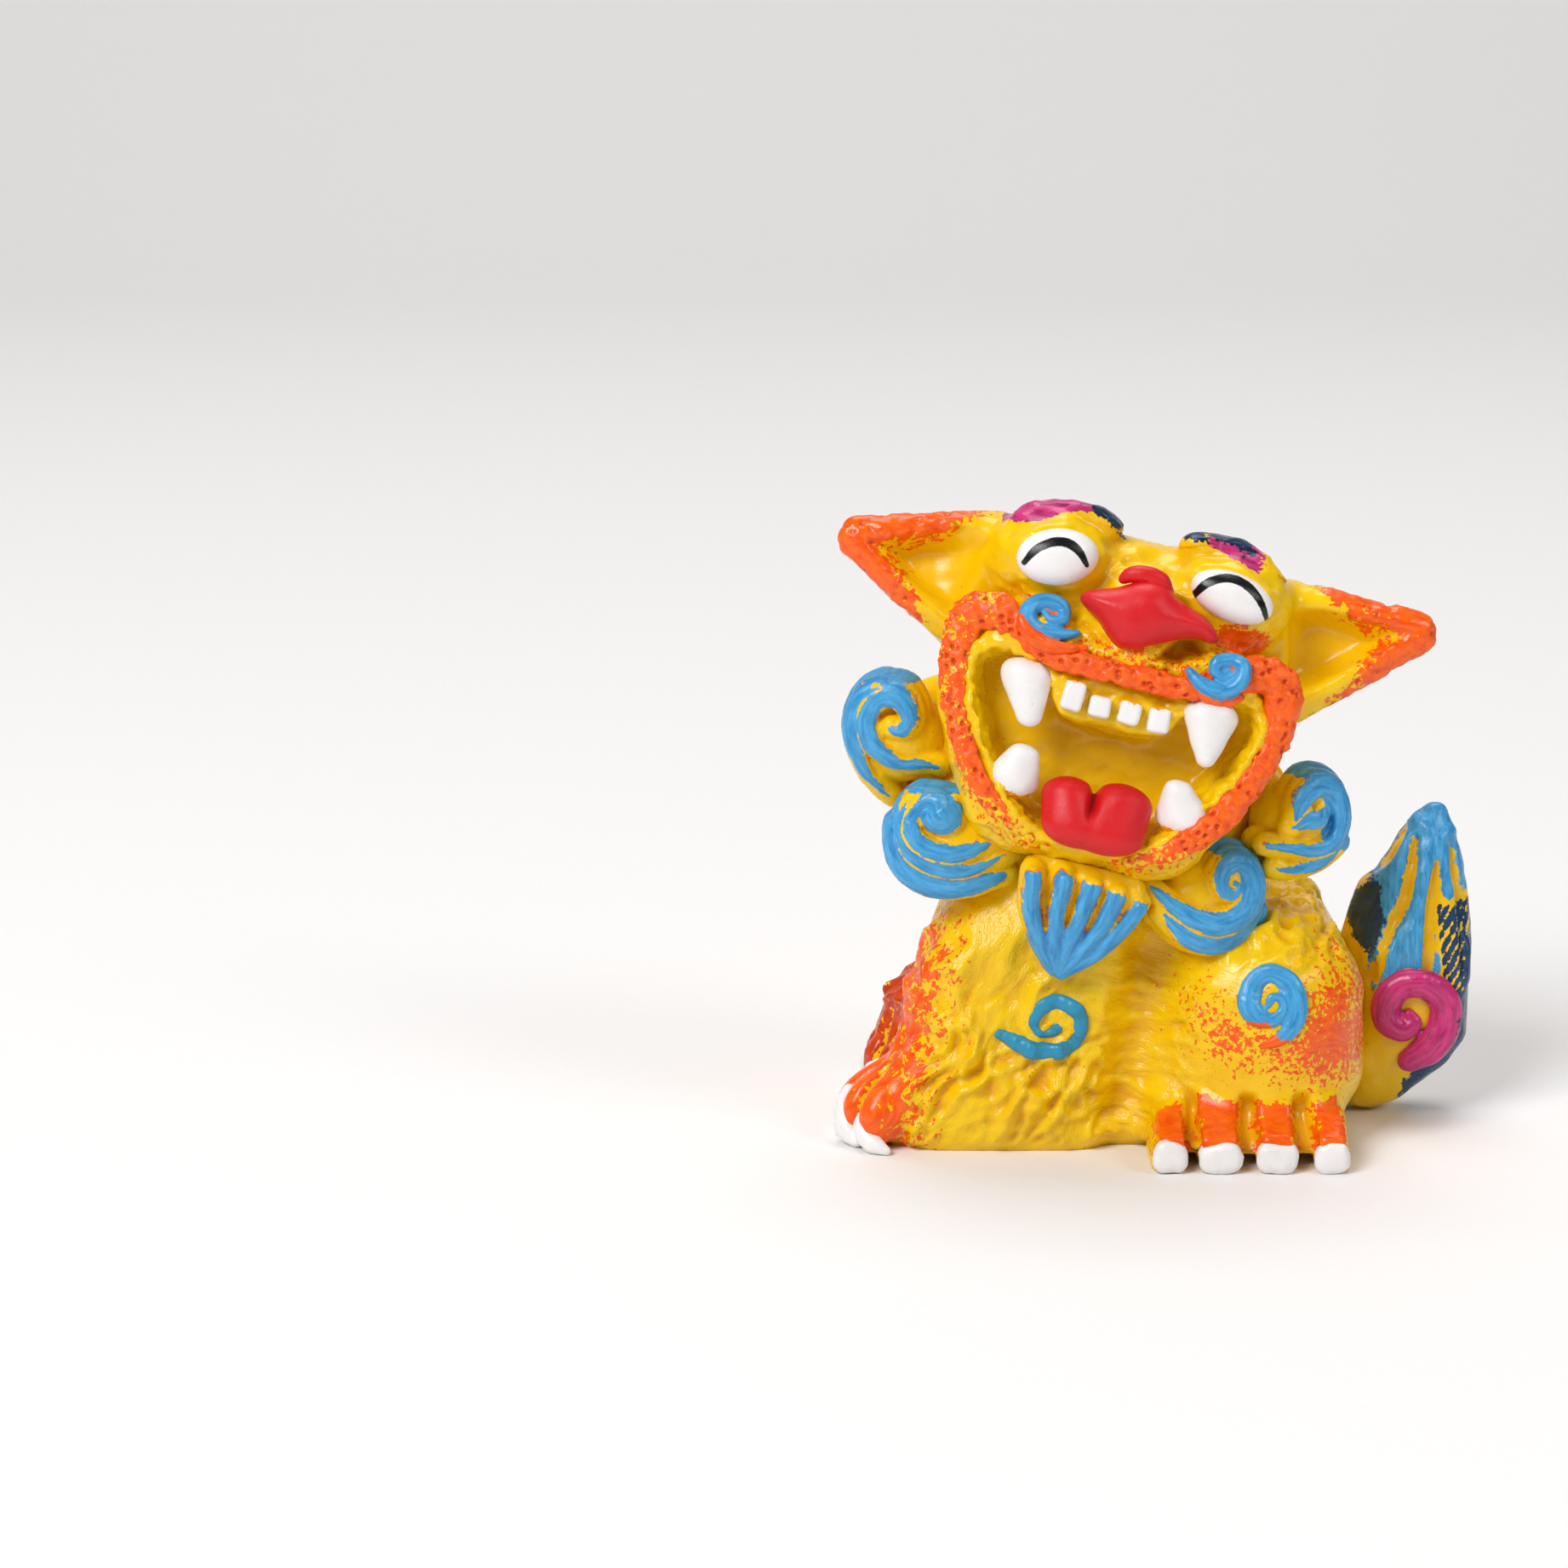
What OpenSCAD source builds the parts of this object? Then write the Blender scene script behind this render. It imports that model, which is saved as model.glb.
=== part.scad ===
// Guardian lion figurine with an open mouth, a hand-built and painted folk ornament.
// Lengths are in millimetres. The figure stands on z = 0 with its chest towards -X,
// its tail towards +X and its face turned towards -Y.
// Left and right are the lion's own: on the body left is -Y, on the turned head left is +X.

/* [Head] */
// Width across the cheeks
head_w = 31; // [29:0.5:34]
// Height from the chin to the top of the eye mounds
head_h = 32; // [30:0.5:35]
// Depth from the lips to the back of the skull
head_d = 24; // [22:0.5:27]
// Lean of the head towards the tail, in degrees
head_roll = 13.5; // [8:0.5:18]
// Upward tilt of the face, in degrees
head_pitch = 12; // [6:1:16]
// Height of the upper lip above the floor
face_z = 41; // [39.5:0.5:43]
// Overhang of the upper lip beyond the chest
face_out = 3; // [2.5:0.1:4]
// Radius of a cheek
cheek_r = 5; // [4.6:0.1:5.4]

/* [Eyes and nose] */
// Distance between the centres of the eyes
eye_gap = 15.6; // [14.8:0.2:17]
// Width of one eye
eye_w = 7.2; // [6:0.2:8]
// Height of one eye
eye_h = 4.9; // [4:0.1:5.4]
// Thickness of a brow strip
brow_t = 1.8; // [1.4:0.1:2.4]
// Width across the wings of the nose
nose_w = 12.2; // [10:0.2:13]
// Height of the nose
nose_h = 5.8; // [5:0.1:6.6]
// Width of a nostril
nostril_w = 2.4; // [1.6:0.1:3]
// Outer radius of a moustache volute
moustache_r = 2.6; // [2.4:0.05:2.8]
// Thickness of the strand of a moustache volute
moustache_t = 1.7; // [1.3:0.05:1.8]

/* [Mouth] */
// Width of the mouth opening
mouth_w = 26.6; // [24:0.2:27.2]
// Height of the mouth opening
mouth_h = 15.9; // [14:0.1:16.4]
// Depth of the mouth
mouth_depth = 6; // [4.5:0.1:7]
// Thickness of the lip roll
lip_t = 3.2; // [2.4:0.1:3.4]
// Length of an upper fang
fang_l = 6.2; // [5:0.1:7]
// Width of a fang at its root
fang_w = 4.2; // [3.2:0.1:4.8]
// Width of one incisor
incisor_w = 1.9; // [1.4:0.1:2.2]
// Width of the tongue
tongue_w = 8.8; // [7:0.1:9.6]

/* [Ears and mane] */
// Reach of an ear from the side of the skull
ear_l = 12.5; // [10:0.5:15]
// Height of an ear at its root
ear_h = 12; // [10:0.5:13]
// Thickness of an ear at its root
ear_t = 5.6; // [4.6:0.1:7]
// Droop of the tip of the right ear below the left one
ear_droop = 3.4; // [0:0.2:4]
// Outer radius of a mane curl
curl_r = 5.3; // [4.8:0.1:5.8]
// Thickness of the strand of a mane curl
curl_t = 2.6; // [2.2:0.1:2.8]
// Turns of a mane curl
curl_turns = 1.3; // [1.1:0.05:1.4]
// Length of the beard
beard_l = 10; // [8:0.5:12]
// Width of the beard at the chin
beard_w = 11.4; // [9:0.2:12.4]

/* [Body] */
// Length from the chest to the rump
body_l = 43; // [41:0.5:46]
// Depth of the chest from flank to flank
chest_d = 28; // [26:0.5:31]
// Radius of the rounded edges of the chest block
corner_r = 4.8; // [4:0.1:5.4]
// Depth of the modelling tool's strokes on the chest
stroke_d = 0.4; // [0.3:0.05:0.5]
// Radius of the neck
neck_r = 10.5; // [9.5:0.1:11.5]
// Height of the rump
rump_h = 21.5; // [19:0.5:23]
// Outer radius of a sprig curl on flank or haunch
sprig_r = 3.2; // [2.7:0.1:3.6]
// Thickness of the strand of a sprig curl
sprig_t = 1.6; // [1.3:0.1:1.7]

/* [Legs] */
// Radius of a foreleg
fore_r = 4.8; // [4.4:0.1:5.2]
// Width of one toe
toe_w = 3.8; // [3.4:0.1:4.2]
// Height of one claw
claw_h = 3.2; // [2.6:0.1:3.6]
// Distance from toe to toe on a hind foot
toe_pitch = 4.7; // [4.3:0.1:5.2]
// Angle from toe to toe on a forepaw, in degrees
toe_fan = 30; // [27:1:33]
// Reach of a forepaw from its wrist to the toe tips
paw_reach = 7.4; // [6.6:0.1:8.4]
// Reach of the left hind toes from the middle of the body
foot_reach = 20; // [19:0.5:22]
// Amount by which the right hind foot is tucked in
foot_tuck = 1; // [0:0.5:2]
// Radius of a haunch
haunch_r = 9.5; // [8.5:0.1:10.5]

/* [Tail] */
// Height of the tail tip above the floor
tail_h = 28.4; // [25:0.2:32]
// Width of the tail leaf
tail_w = 11; // [9:0.2:13]
// Thickness of the tail leaf
tail_t = 8.4; // [7:0.2:10]
// Outer radius of the volute on the tail
tail_curl_r = 4.2; // [3.6:0.1:4.6]
// Thickness of the strand of the volute on the tail
tail_curl_t = 2.3; // [1.8:0.1:2.4]

/* [Hidden] */

// Colours of the paint
yellow = "#f5c40a";
orange = "#f25a1c";
blue = "#2d91cd";
magenta = "#be286e";
red = "#d21428";
white = "#f5f2f0";

// Facets round large, middling and small forms
big_fn = 20;
mid_fn = 12;
small_fn = 8;
tube_sides = 6;
// Side of a block that is larger than the figure
vast = 10 * body_l;

// Sides of the turned head along X, and of the body along Y
left = 1;
right = -1;
near = -1;
far = 1;

// Mouth: half width, top line, middle height, shrinkage towards the back, and space cut before it
mouth_half = mouth_w / 2;
mouth_top = lip_t * 0.906;
mouth_mid = mouth_top - mouth_h * 0.45;
mouth_taper = 0.78;
mouth_front = lip_t * 1.25;
fang_x = mouth_half * 0.6;

// Head: half sizes and levels, from the middle of the upper lip
half_head = head_w / 2;
eye_x = eye_gap / 2;
eye_z = head_h * 0.365;
jaw_z = mouth_top - mouth_h * 0.78;
jaw_r = [cheek_r * 1.2, cheek_r * 1.1, cheek_r * 0.96];
mound_r = [eye_w * 0.86, head_d * 0.25, eye_h * 0.96];
mound_y = head_d * 0.29;
mound_z = eye_z - eye_h * 0.1;
cheek_y = cheek_r * 1.2;
nose_z = eye_z - nose_h * 0.72;
nose_x = nose_w * 0.074;

// Body: chest block, rump, legs and tail
chest_x = -body_l * 0.314;
chest_half = chest_d / 2;
// Start and end of each tool stroke, as shares across and up the side of the chest
tool_strokes = [[0.02, 0.02, 0.1, 0.2], [0.2, 0, 0.3, 0.2], [0.42, 0.02, 0.52, 0.24], [0.66, 0, 0.76, 0.22],
    [0.88, 0.04, 0.97, 0.24], [0.08, 0.3, 0.16, 0.52], [0, 0.6, 0.1, 0.8], [0.28, 0.82, 0.4, 1],
    [0.52, 0.84, 0.68, 0.98], [0.8, 0.82, 1, 0.9]];
chest_front = chest_x - corner_r * 1.98;
rump_x = chest_front + body_l - haunch_r;
belly_r = chest_half * 0.82;
fore_x = chest_x - fore_r * 1.4;
fore_y = chest_d * 0.3;
haunch_x = rump_x - haunch_r * 0.095;
haunch_y = chest_d * 0.32;
haunch_z = rump_h - haunch_r * 0.937;
tail_x = rump_x + haunch_r * 1.474;
tail_y = chest_d * 0.036;
// Turns of the sprig curls and of the volute on the tail
sprig_turns = 1.15;
tail_curl_turns = 1;

// Head: place of the middle of the upper lip in the figure, and level of the neck below it
face_x = chest_x + body_l * 0.207;
face_y = -chest_half - face_out;
neck_z = face_z * 0.732;

// Depth of the front of the face behind its foremost plane, for the bow of the cheeks and the chin
function face_depth(x, z) =
    x * x / (half_head * 5.16) + pow(max(0, jaw_z * 0.842 - z), 2) / (head_d * 0.5);

function on_face(x, z) = [x, face_depth(x, z), z];

// Point of a smooth curve through b and c, with a before and d after them
function curve_point(a, b, c, d, t) =
    b + (c - a) * t / 2 + (2 * a - 5 * b + 4 * c - d) * t * t / 2
    + (3 * b - a - 3 * c + d) * t * t * t / 2;

// Smooth curve through a list of points, with n steps between neighbours
function curve(p, n) =
    let (last = len(p) - 1)
    [for (i = [0 : last - 1]) for (k = [0 : n - 1])
        curve_point(p[max(i - 1, 0)], p[i], p[i + 1], p[min(i + 2, last)], k / n), p[last]];

// Right half of a list of points, followed by its mirror image in reverse
function both_halves(p) =
    [each p, for (i = [len(p) - 2 : -1 : 0]) [-p[i][0], each [for (k = [1 : len(p[i]) - 1]) p[i][k]]]];

// Path of a volute that winds inwards, anticlockwise from the front, domed to lie on a round form
function volute(turns, r_out, r_in, start, dome, n) =
    [for (i = [0 : n])
        let (t = i / n, a = start + 360 * turns * t, r = r_out + (r_in - r_out) * pow(t, 1.4))
        [r * cos(a), r * r / (2 * dome), r * sin(a)]];

// Swelling of a strand along its length t, rounded at both ends
function swell(t, from, to) = (from + (to - from) * t) * sqrt(min(1, 0.12 + t * 7, 0.12 + (1 - t) * 9));

// Ring of a tube round the path at point i, wide across the face and deep along Y
function tube_ring(path, i, wide, deep) =
    let (along = path[min(i + 1, len(path) - 1)] - path[max(i - 1, 0)],
        side = cross(along, [0, 1, 0]) / norm(cross(along, [0, 1, 0])))
    [for (k = [0 : tube_sides - 1])
        path[i] + side * wide * cos(360 * k / tube_sides) + [0, deep * sin(360 * k / tube_sides), 0]];

// Tube round a path across Y; widths has its half-width at each point, flat the ratio of depth to width
module tube(path, widths, flat) {
    last = len(path) - 1;
    points = [for (i = [0 : last]) each tube_ring(path, i, widths[i], widths[i] * flat)];
    walls = [for (i = [0 : last - 1]) for (k = [0 : tube_sides - 1])
        let (a = i * tube_sides + k, b = i * tube_sides + (k + 1) % tube_sides)
        each [[a, b, a + tube_sides], [b, b + tube_sides, a + tube_sides]]];
    caps = [[for (k = [tube_sides - 1 : -1 : 0]) k], [for (k = [0 : tube_sides - 1]) last * tube_sides + k]];
    polyhedron(points = points, faces = concat(walls, caps));
}

// Three slabs that a hull makes into a block of clay with its edges pressed off
module slabs(p, size, edge) {
    translate(p)
        for (k = [0 : 2])
            cube([for (j = [0 : 2]) size[j] - (j == k ? 0 : 2 * edge)], center = true);
}

// Ellipsoid with its centre at p and radii r
module ball(p, r, fn = mid_fn) {
    translate(p)
        scale(r)
            sphere(1, $fn = fn);
}

// Rounded limb between two ellipsoids
module limb(p, r, q, s, fn = mid_fn) {
    hull() {
        ball(p, r, fn);
        ball(q, s, fn);
    }
}

// Mirror image across X for the right side of the head
module on_side(side) {
    mirror([side < 0 ? 1 : 0, 0, 0])
        children();
}

// Everything below the floor
module floor_cut() {
    translate([-vast / 2, -vast / 2, -vast])
        cube(vast);
}

// Frame of the head: x to its left, y into it, z up the face
module on_head() {
    translate([face_x, face_y, face_z])
        rotate([-head_pitch, 0, 0])
            rotate([0, head_roll, 0])
                children();
}

// Outline of the mouth opening in fractions of its size
module mouth_outline() {
    half = [[0, 0.296], [0.35, 0.277], [0.47, 0.132], [0.77, 0], [1, 0.038], [0.98, 0.245],
        [0.85, 0.484], [0.68, 0.686], [0.49, 0.868], [0.23, 0.975], [0, 1]];
    edge = [for (p = half) [p[0] * mouth_half, mouth_top - p[1] * mouth_h - mouth_mid]];
    polygon(curve(both_halves(edge), 3));
}

// Hollow of the mouth, narrowing to the back
module mouth_cut() {
    spread = (1 + (1 - mouth_taper) * mouth_front / mouth_depth) / mouth_taper;
    translate([0, mouth_depth, mouth_mid])
        rotate([90, 0, 0])
            linear_extrude(height = mouth_depth + mouth_front, scale = spread)
                scale(mouth_taper)
                    mouth_outline();
}

// Pair of nostrils
module nostril_cut() {
    for (s = [right, left])
        ball([nose_x + s * nose_w * 0.29, -nose_h * 0.1, nose_z - nose_h * 0.38],
            nostril_w * [0.5, 0.8, 0.4], small_fn);
}

// Skull, eye mounds, muzzle, cheeks and jaw as one lump
module head_lump() {
    limb([0, head_d * 0.56, head_h * 0.03], [half_head * 0.88, head_d * 0.44, head_h * 0.44],
        [0, head_d * 0.4, -head_h * 0.03], [half_head * 0.86, head_d * 0.36, head_h * 0.36], big_fn);
    for (s = [right, left]) {
        limb([s * (half_head - cheek_r), cheek_y, -cheek_r * 0.1], cheek_r * [1, 1.1, 1.3],
            [s * half_head * 0.33, cheek_y, jaw_z], jaw_r, big_fn);
        limb([s * eye_x, mound_y, mound_z], mound_r,
            [s * eye_x * 0.75, mound_y * 1.9, eye_z - eye_h * 0.61],
            [mound_r[0] * 0.8, mound_r[1], mound_r[2]]);
        limb([s * (half_head - cheek_r * 0.28), head_d * 0.58, jaw_z * 0.63], cheek_r * [0.88, 0.92, 1.2],
            [s * half_head * 0.56, head_d * 0.56, jaw_z - cheek_r * 0.92], cheek_r * [1, 0.92, 1]);
        limb([s * mouth_half * 0.55, cheek_r * 0.8, mouth_top + lip_t * 0.6], cheek_r * [0.92, 0.8, 0.52],
            [s * (half_head - cheek_r), cheek_y, cheek_r * 0.2], cheek_r * [0.92, 1.04, 1]);
    }
    limb([-half_head * 0.33, cheek_y, jaw_z], jaw_r, [half_head * 0.33, cheek_y, jaw_z], jaw_r);
    limb([-half_head * 0.5, cheek_y, 0], cheek_r * [1.2, 1.08, 1.2],
        [half_head * 0.5, cheek_y, 0], cheek_r * [1.2, 1.08, 1.2]);
    limb([-eye_x / 2, head_d * 0.38, eye_z - eye_h * 0.2], [eye_w * 0.56, mound_r[1] * 0.83, eye_h * 0.92],
        [eye_x / 2, head_d * 0.38, eye_z - eye_h * 0.2], [eye_w * 0.56, mound_r[1] * 0.83, eye_h * 0.92]);
    limb([0, nose_h * 0.86, nose_z + nose_h * 0.45], nose_h * [0.55, 0.62, 0.45],
        [0, nose_h * 0.62, mouth_top + lip_t * 0.53], nose_h * [1.03, 0.69, 0.45]);
}

// Head lump with its mouth and nostrils hollowed out
module head_form() {
    difference() {
        head_lump();
        mouth_cut();
        nostril_cut();
    }
}

// Place on a flat side of the chest, from shares across and up it
function on_chest(side, across, up) =
    [chest_x + corner_r * (2.29 * across - 1.04 + 0.7 * up), side * (chest_half - corner_r * 0.17 * up),
        corner_r * 0.63 * (1 - up) + face_z * 0.451 * up];

// Strokes of the modelling tool on both sides of the chest
module tool_marks() {
    r = stroke_d * 2.2;
    for (s = [near, far])
        for (t = tool_strokes)
            limb(on_chest(s, t[0], t[1]) + [0, s * (r - stroke_d), 0], [r, r, r],
                on_chest(s, t[2], t[3]) + [0, s * (r - stroke_d), 0], [r, r, r], small_fn);
}

// Torso lump: chest block, neck, back, belly, flanks and rump
module torso_form() {
    corner = corner_r * [1, 1, 1.15];
    flank = chest_half - corner_r;
    side_r = haunch_r * [0.84, 0.84, 0.95];
    difference() {
        union() {
            hull() {
                for (s = [near, far])
                    for (x = [chest_x - corner_r * 1.04, chest_x + corner_r * 1.25]) {
                        ball([x, s * flank, corner_r * 0.63], corner);
                        ball([x + corner_r * 0.7, s * (flank - corner_r * 0.17), face_z * 0.451], corner);
                    }
            }
            limb([chest_x + neck_r * 0.48, -neck_r * 0.1, face_z * 0.537], [neck_r, belly_r, neck_r * 0.67],
                [face_x, face_y * 0.176, neck_z], neck_r * [1, 0.9, 0.57], big_fn);
            limb([chest_x + haunch_r * 0.84, 0, rump_h * 0.884], [neck_r * 0.95, belly_r, rump_h * 0.395],
                [rump_x - tail_y, tail_y, rump_h - haunch_r * 1.05],
                [haunch_r, belly_r, haunch_r * 1.05], big_fn);
            limb([rump_x - tail_y / 2, tail_y, rump_h * 0.465], [haunch_r, belly_r * 0.96, haunch_r * 0.95],
                [rump_x, tail_y, haunch_r * 0.316], [haunch_r * 0.95, belly_r * 0.92, haunch_r * 0.42], big_fn);
            limb([chest_x + neck_r * 0.48, 0, rump_h * 0.326], [haunch_r * 0.84, belly_r, haunch_r * 0.84],
                [rump_x - haunch_r * 0.32, 0, rump_h * 0.326], [haunch_r * 0.84, belly_r, haunch_r * 0.84]);
            for (s = [near, far]) {
                limb([chest_x + haunch_r * 0.32, s * chest_half * 0.34, rump_h * 0.65], side_r,
                    [rump_x - haunch_r * 0.32, s * chest_half * 0.3, rump_h * 0.44], side_r);
                limb([chest_x + haunch_r * 0.32, s * chest_half * 0.34, rump_h * 0.23], side_r,
                    [rump_x - haunch_r * 0.32, s * chest_half * 0.34, rump_h * 0.23], side_r);
            }
        }
        floor_cut();
    }
}

// Angle of foretoe i from straight ahead
function foretoe_turn(i) = (1.6 - i) * toe_fan;

// Place of the tip of foretoe i from the wrist, at distance d
function foretoe(i, side, d) =
    [fore_x - d * cos(foretoe_turn(i)), side * (fore_y + d * sin(foretoe_turn(i)))];

// Foreleg lump with its four fanned toes
module foreleg_form(side) {
    shoulder = [chest_x - fore_r * 0.75, side * fore_y, rump_h * 0.72];
    knee = [chest_x - fore_r * 1.17, side * fore_y, rump_h * 0.42];
    wrist = [fore_x, side * fore_y, fore_r * 0.83];
    knee_r = fore_r * [1, 1.08, 1.04];
    wrist_r = fore_r * [0.96, 1.08, 0.88];
    heel_r = [fore_r * 0.83, fore_r * 0.63, toe_w * 0.66];
    difference() {
        union() {
            limb(shoulder, fore_r * [1, 1.04, 1.25], knee, knee_r);
            limb(knee, knee_r, wrist, wrist_r);
            limb(wrist, wrist_r, wrist - fore_r * [0.42, 0, 0.21], fore_r * [0.88, 1.04, 0.71]);
            for (i = [0 : 3])
                limb([each foretoe(i, side, paw_reach * 0.4), toe_w * 1.37], toe_w * [0.52, 0.52, 0.79],
                    [each foretoe(i, side, paw_reach - toe_w * 0.46), toe_w * 0.7], toe_w * [0.48, 0.48, 0.72],
                    small_fn);
            limb([fore_x, side * (fore_y - fore_r * 0.42), toe_w * 0.66], heel_r,
                [fore_x, side * (fore_y + fore_r * 0.42), toe_w * 0.66], heel_r);
        }
        floor_cut();
    }
}

// Reach of the hind toes on one side
function hind_reach(side) = side < 0 ? foot_reach : foot_reach - foot_tuck;

// Place across X of hind toe i
function hindtoe_x(i) = haunch_x + (i - 1.9) * toe_pitch;

// Haunch and foot lump with its four toes
module hind_leg_form(side) {
    reach = hind_reach(side);
    difference() {
        union() {
            limb([haunch_x, side * haunch_y, haunch_z], haunch_r * [1, 0.93, 0.96],
                [haunch_x, side * haunch_y * 0.93, haunch_r * 0.684], haunch_r * [1, 0.84, 0.684], big_fn);
            limb([hindtoe_x(0.13), side * (reach - toe_w * 1.84), toe_w * 0.66], toe_w * [0.63, 0.98, 0.68],
                [hindtoe_x(2.87), side * (reach - toe_w * 1.84), toe_w * 0.66], toe_w * [0.63, 0.98, 0.68]);
            for (i = [0 : 3])
                translate([hindtoe_x(i), side * reach, 0])
                    hull() {
                        slabs(toe_w * [0, -side * 1.2, 0.53], toe_w * [1.05, 0.9, 1.33], toe_w * 0.2);
                        slabs(toe_w * [0, -side * 0.45, 0.4], toe_w * [1.02, 0.86, 1.07], toe_w * 0.2);
                    }
            limb([haunch_x, side * haunch_y, haunch_r * 0.84], haunch_r * [0.84, 0.63, 0.84],
                [haunch_x, side * (reach - toe_w * 2.37), toe_w * 0.79], haunch_r * [0.74, 0.42, 0.32]);
        }
        floor_cut();
    }
}

// Claws of one forepaw
module claws_fore(side) {
    color(white)
        difference() {
            for (i = [0 : 3])
                translate([each foretoe(i, side, paw_reach), claw_h * 0.5])
                    rotate([0, 0, -side * foretoe_turn(i)])
                        ball([toe_w * 0.08, 0, 0], [toe_w * 0.34, toe_w * 0.4, claw_h * 0.5], small_fn);
            foreleg_form(side);
            floor_cut();
        }
}

// Claws of one hind foot
module claws_hind(side) {
    color(white)
        difference() {
            for (i = [0 : 3])
                hull()
                    slabs([hindtoe_x(i), side * (hind_reach(side) - toe_w * 0.05), claw_h * 0.42],
                        [toe_w * 0.88, toe_w * 0.44, claw_h * 0.9], toe_w * 0.13);
            hind_leg_form(side);
            floor_cut();
        }
}

// Cupped ear with a thick rim
module ear(side) {
    root = half_head * 0.82;
    tip = half_head + ear_l * 0.76;
    top = eye_z + ear_h * 0.083;
    tip_z = side == left ? top : top - ear_droop;
    root_y = head_d * 0.4;
    tip_y = head_d * 0.36;
    root_r = [ear_h * 0.2, ear_t / 2, ear_h * 0.183];
    cup_r = [ear_h * 0.117, ear_t * 0.3, ear_h * 0.083];
    color(yellow)
        difference() {
            hull() {
                ball([side * root, root_y, top], root_r);
                ball([side * (root + ear_h * 0.167), root_y, top - ear_h * 0.72], root_r);
                ball([side * tip, tip_y, tip_z], [ear_h * 0.133, ear_t * 0.28, ear_h * 0.15]);
            }
            hull() {
                ball([side * (root + ear_h * 0.283), root_y - ear_t * 0.55, top - ear_h * 0.083], cup_r);
                ball([side * (root + ear_h * 0.333), root_y - ear_t * 0.55, top - ear_h * 0.5], cup_r);
                ball([side * (tip - ear_h * 0.15), tip_y - ear_t * 0.34, tip_z - ear_h * 0.025],
                    [ear_h * 0.067, ear_t * 0.2, ear_h * 0.067]);
            }
            head_lump();
        }
}

// Strip over one eye mound
module brow(side) {
    arc = [[0.3, 0.8], [0.62, 1.0], [1.0, 1.02], [1.3, 0.86], [1.56, 0.5]];
    path = curve([for (p = arc) [side * p[0] * eye_x, mound_y - brow_t * 0.67, mound_z + p[1] * mound_r[2]]], 3);
    last = len(path) - 1;
    color(magenta)
        difference() {
            tube(path, [for (i = [0 : last]) brow_t * swell(i / last, 0.6, 0.5)], 2);
            head_lump();
        }
}

// Domed eye on the front of one mound
module eye(side) {
    eye_tilt = 6;
    color(white)
        difference() {
            translate([side * eye_x, mound_y - mound_r[1] + eye_h * 0.184, eye_z])
                rotate([0, side * eye_tilt, 0])
                    ball([0, 0, 0], [eye_w / 2, eye_h * 0.327, eye_h / 2], mid_fn);
            head_lump();
        }
}

// Rhombic nose with wings, pierced by the nostrils
module nose() {
    color(red)
        difference() {
            union() {
                hull() {
                    ball([nose_x, -nose_h * 0.1, nose_z - nose_h * 0.05],
                        [nose_w * 0.24, nose_h * 0.43, nose_h * 0.42]);
                    for (s = [right, left])
                        ball([nose_x + s * nose_w * 0.4, nose_h * 0.2, nose_z + nose_h * 0.07],
                            [nose_w * 0.1, nose_h * 0.24, nose_h * 0.155]);
                }
                ball([nose_x * 0.6, nose_h * 0.155, nose_z + nose_h * 0.42],
                    [nose_w * 0.2, nose_h * 0.345, nose_h * 0.26]);
            }
            head_lump();
            nostril_cut();
        }
}

// Path of the lip roll, from the chin on one side round the mouth to the chin on the other
function lip_path() =
    let (half = [[0.32, 0.994], [0.62, 0.849], [0.87, 0.61], [1.02, 0.34], [1.08, 0.088],
        [1.05, -0.107], [0.89, -0.17], [0.68, -0.094], [0.41, 0], [0, 0.006]])
    curve(both_halves([for (p = half) on_face(p[0] * mouth_half, mouth_top - p[1] * mouth_h)]), 2);

// Lump of the lip roll, fat at the corners and thin at the chin and under the nose
module lip_form() {
    path = lip_path();
    last = len(path) - 1;
    tube(path, [for (i = [0 : last])
        let (t = abs(2 * i / last - 1))
        swell(i / last, 1, 1) * lip_t * (0.34 + 0.18 * sin(180 * pow(t, 0.8)))], 1.2);
}

// Rolled lip round the mouth
module lip() {
    color(orange)
        difference() {
            lip_form();
            head_lump();
        }
}

// Lump of a moustache volute beside the nose
module moustache_form(side) {
    lead = moustache_r * [[-1.5, 0.35, -0.5], [-0.96, 0.19, -0.69]];
    path = volute(0.85, moustache_r - moustache_t / 2, moustache_t * 0.44, 235, moustache_r * 2.3, 12);
    line = concat(lead, path);
    last = len(line) - 1;
    translate([side * mouth_half * 0.59, -lip_t * 0.125, mouth_top + lip_t * 0.875])
        on_side(side)
            tube(line, [for (i = [0 : last]) moustache_t * swell(i / last, 0.5, 0.39)], 1.7);
}

// Volute beside the nose
module moustache(side) {
    color(blue)
        difference() {
            moustache_form(side);
            head_lump();
            lip_form();
        }
}

// Upper fang that hangs from the gum
module fang_upper(side) {
    color(white)
        difference() {
            limb([side * fang_x, fang_w * 0.36, mouth_top - fang_l * 0.306],
                fang_w * [0.5, 0.38, 0.38],
                [side * (fang_x + fang_w * 0.05), fang_w * 0.21, mouth_top - fang_l],
                fang_w * [0.17, 0.14, 0.14]);
            head_form();
        }
}

// Lower fang that stands on the rim of the jaw
module fang_lower(side) {
    root_z = mouth_top - mouth_h * 0.71;
    color(white)
        difference() {
            limb([side * fang_x * 0.98, mouth_depth / 2, root_z], fang_w * [0.6, 0.38, 0.43],
                [side * fang_x * 0.9, mouth_depth * 0.3, root_z + fang_l * 0.44], fang_w * [0.26, 0.19, 0.19]);
            head_form();
        }
}

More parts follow.
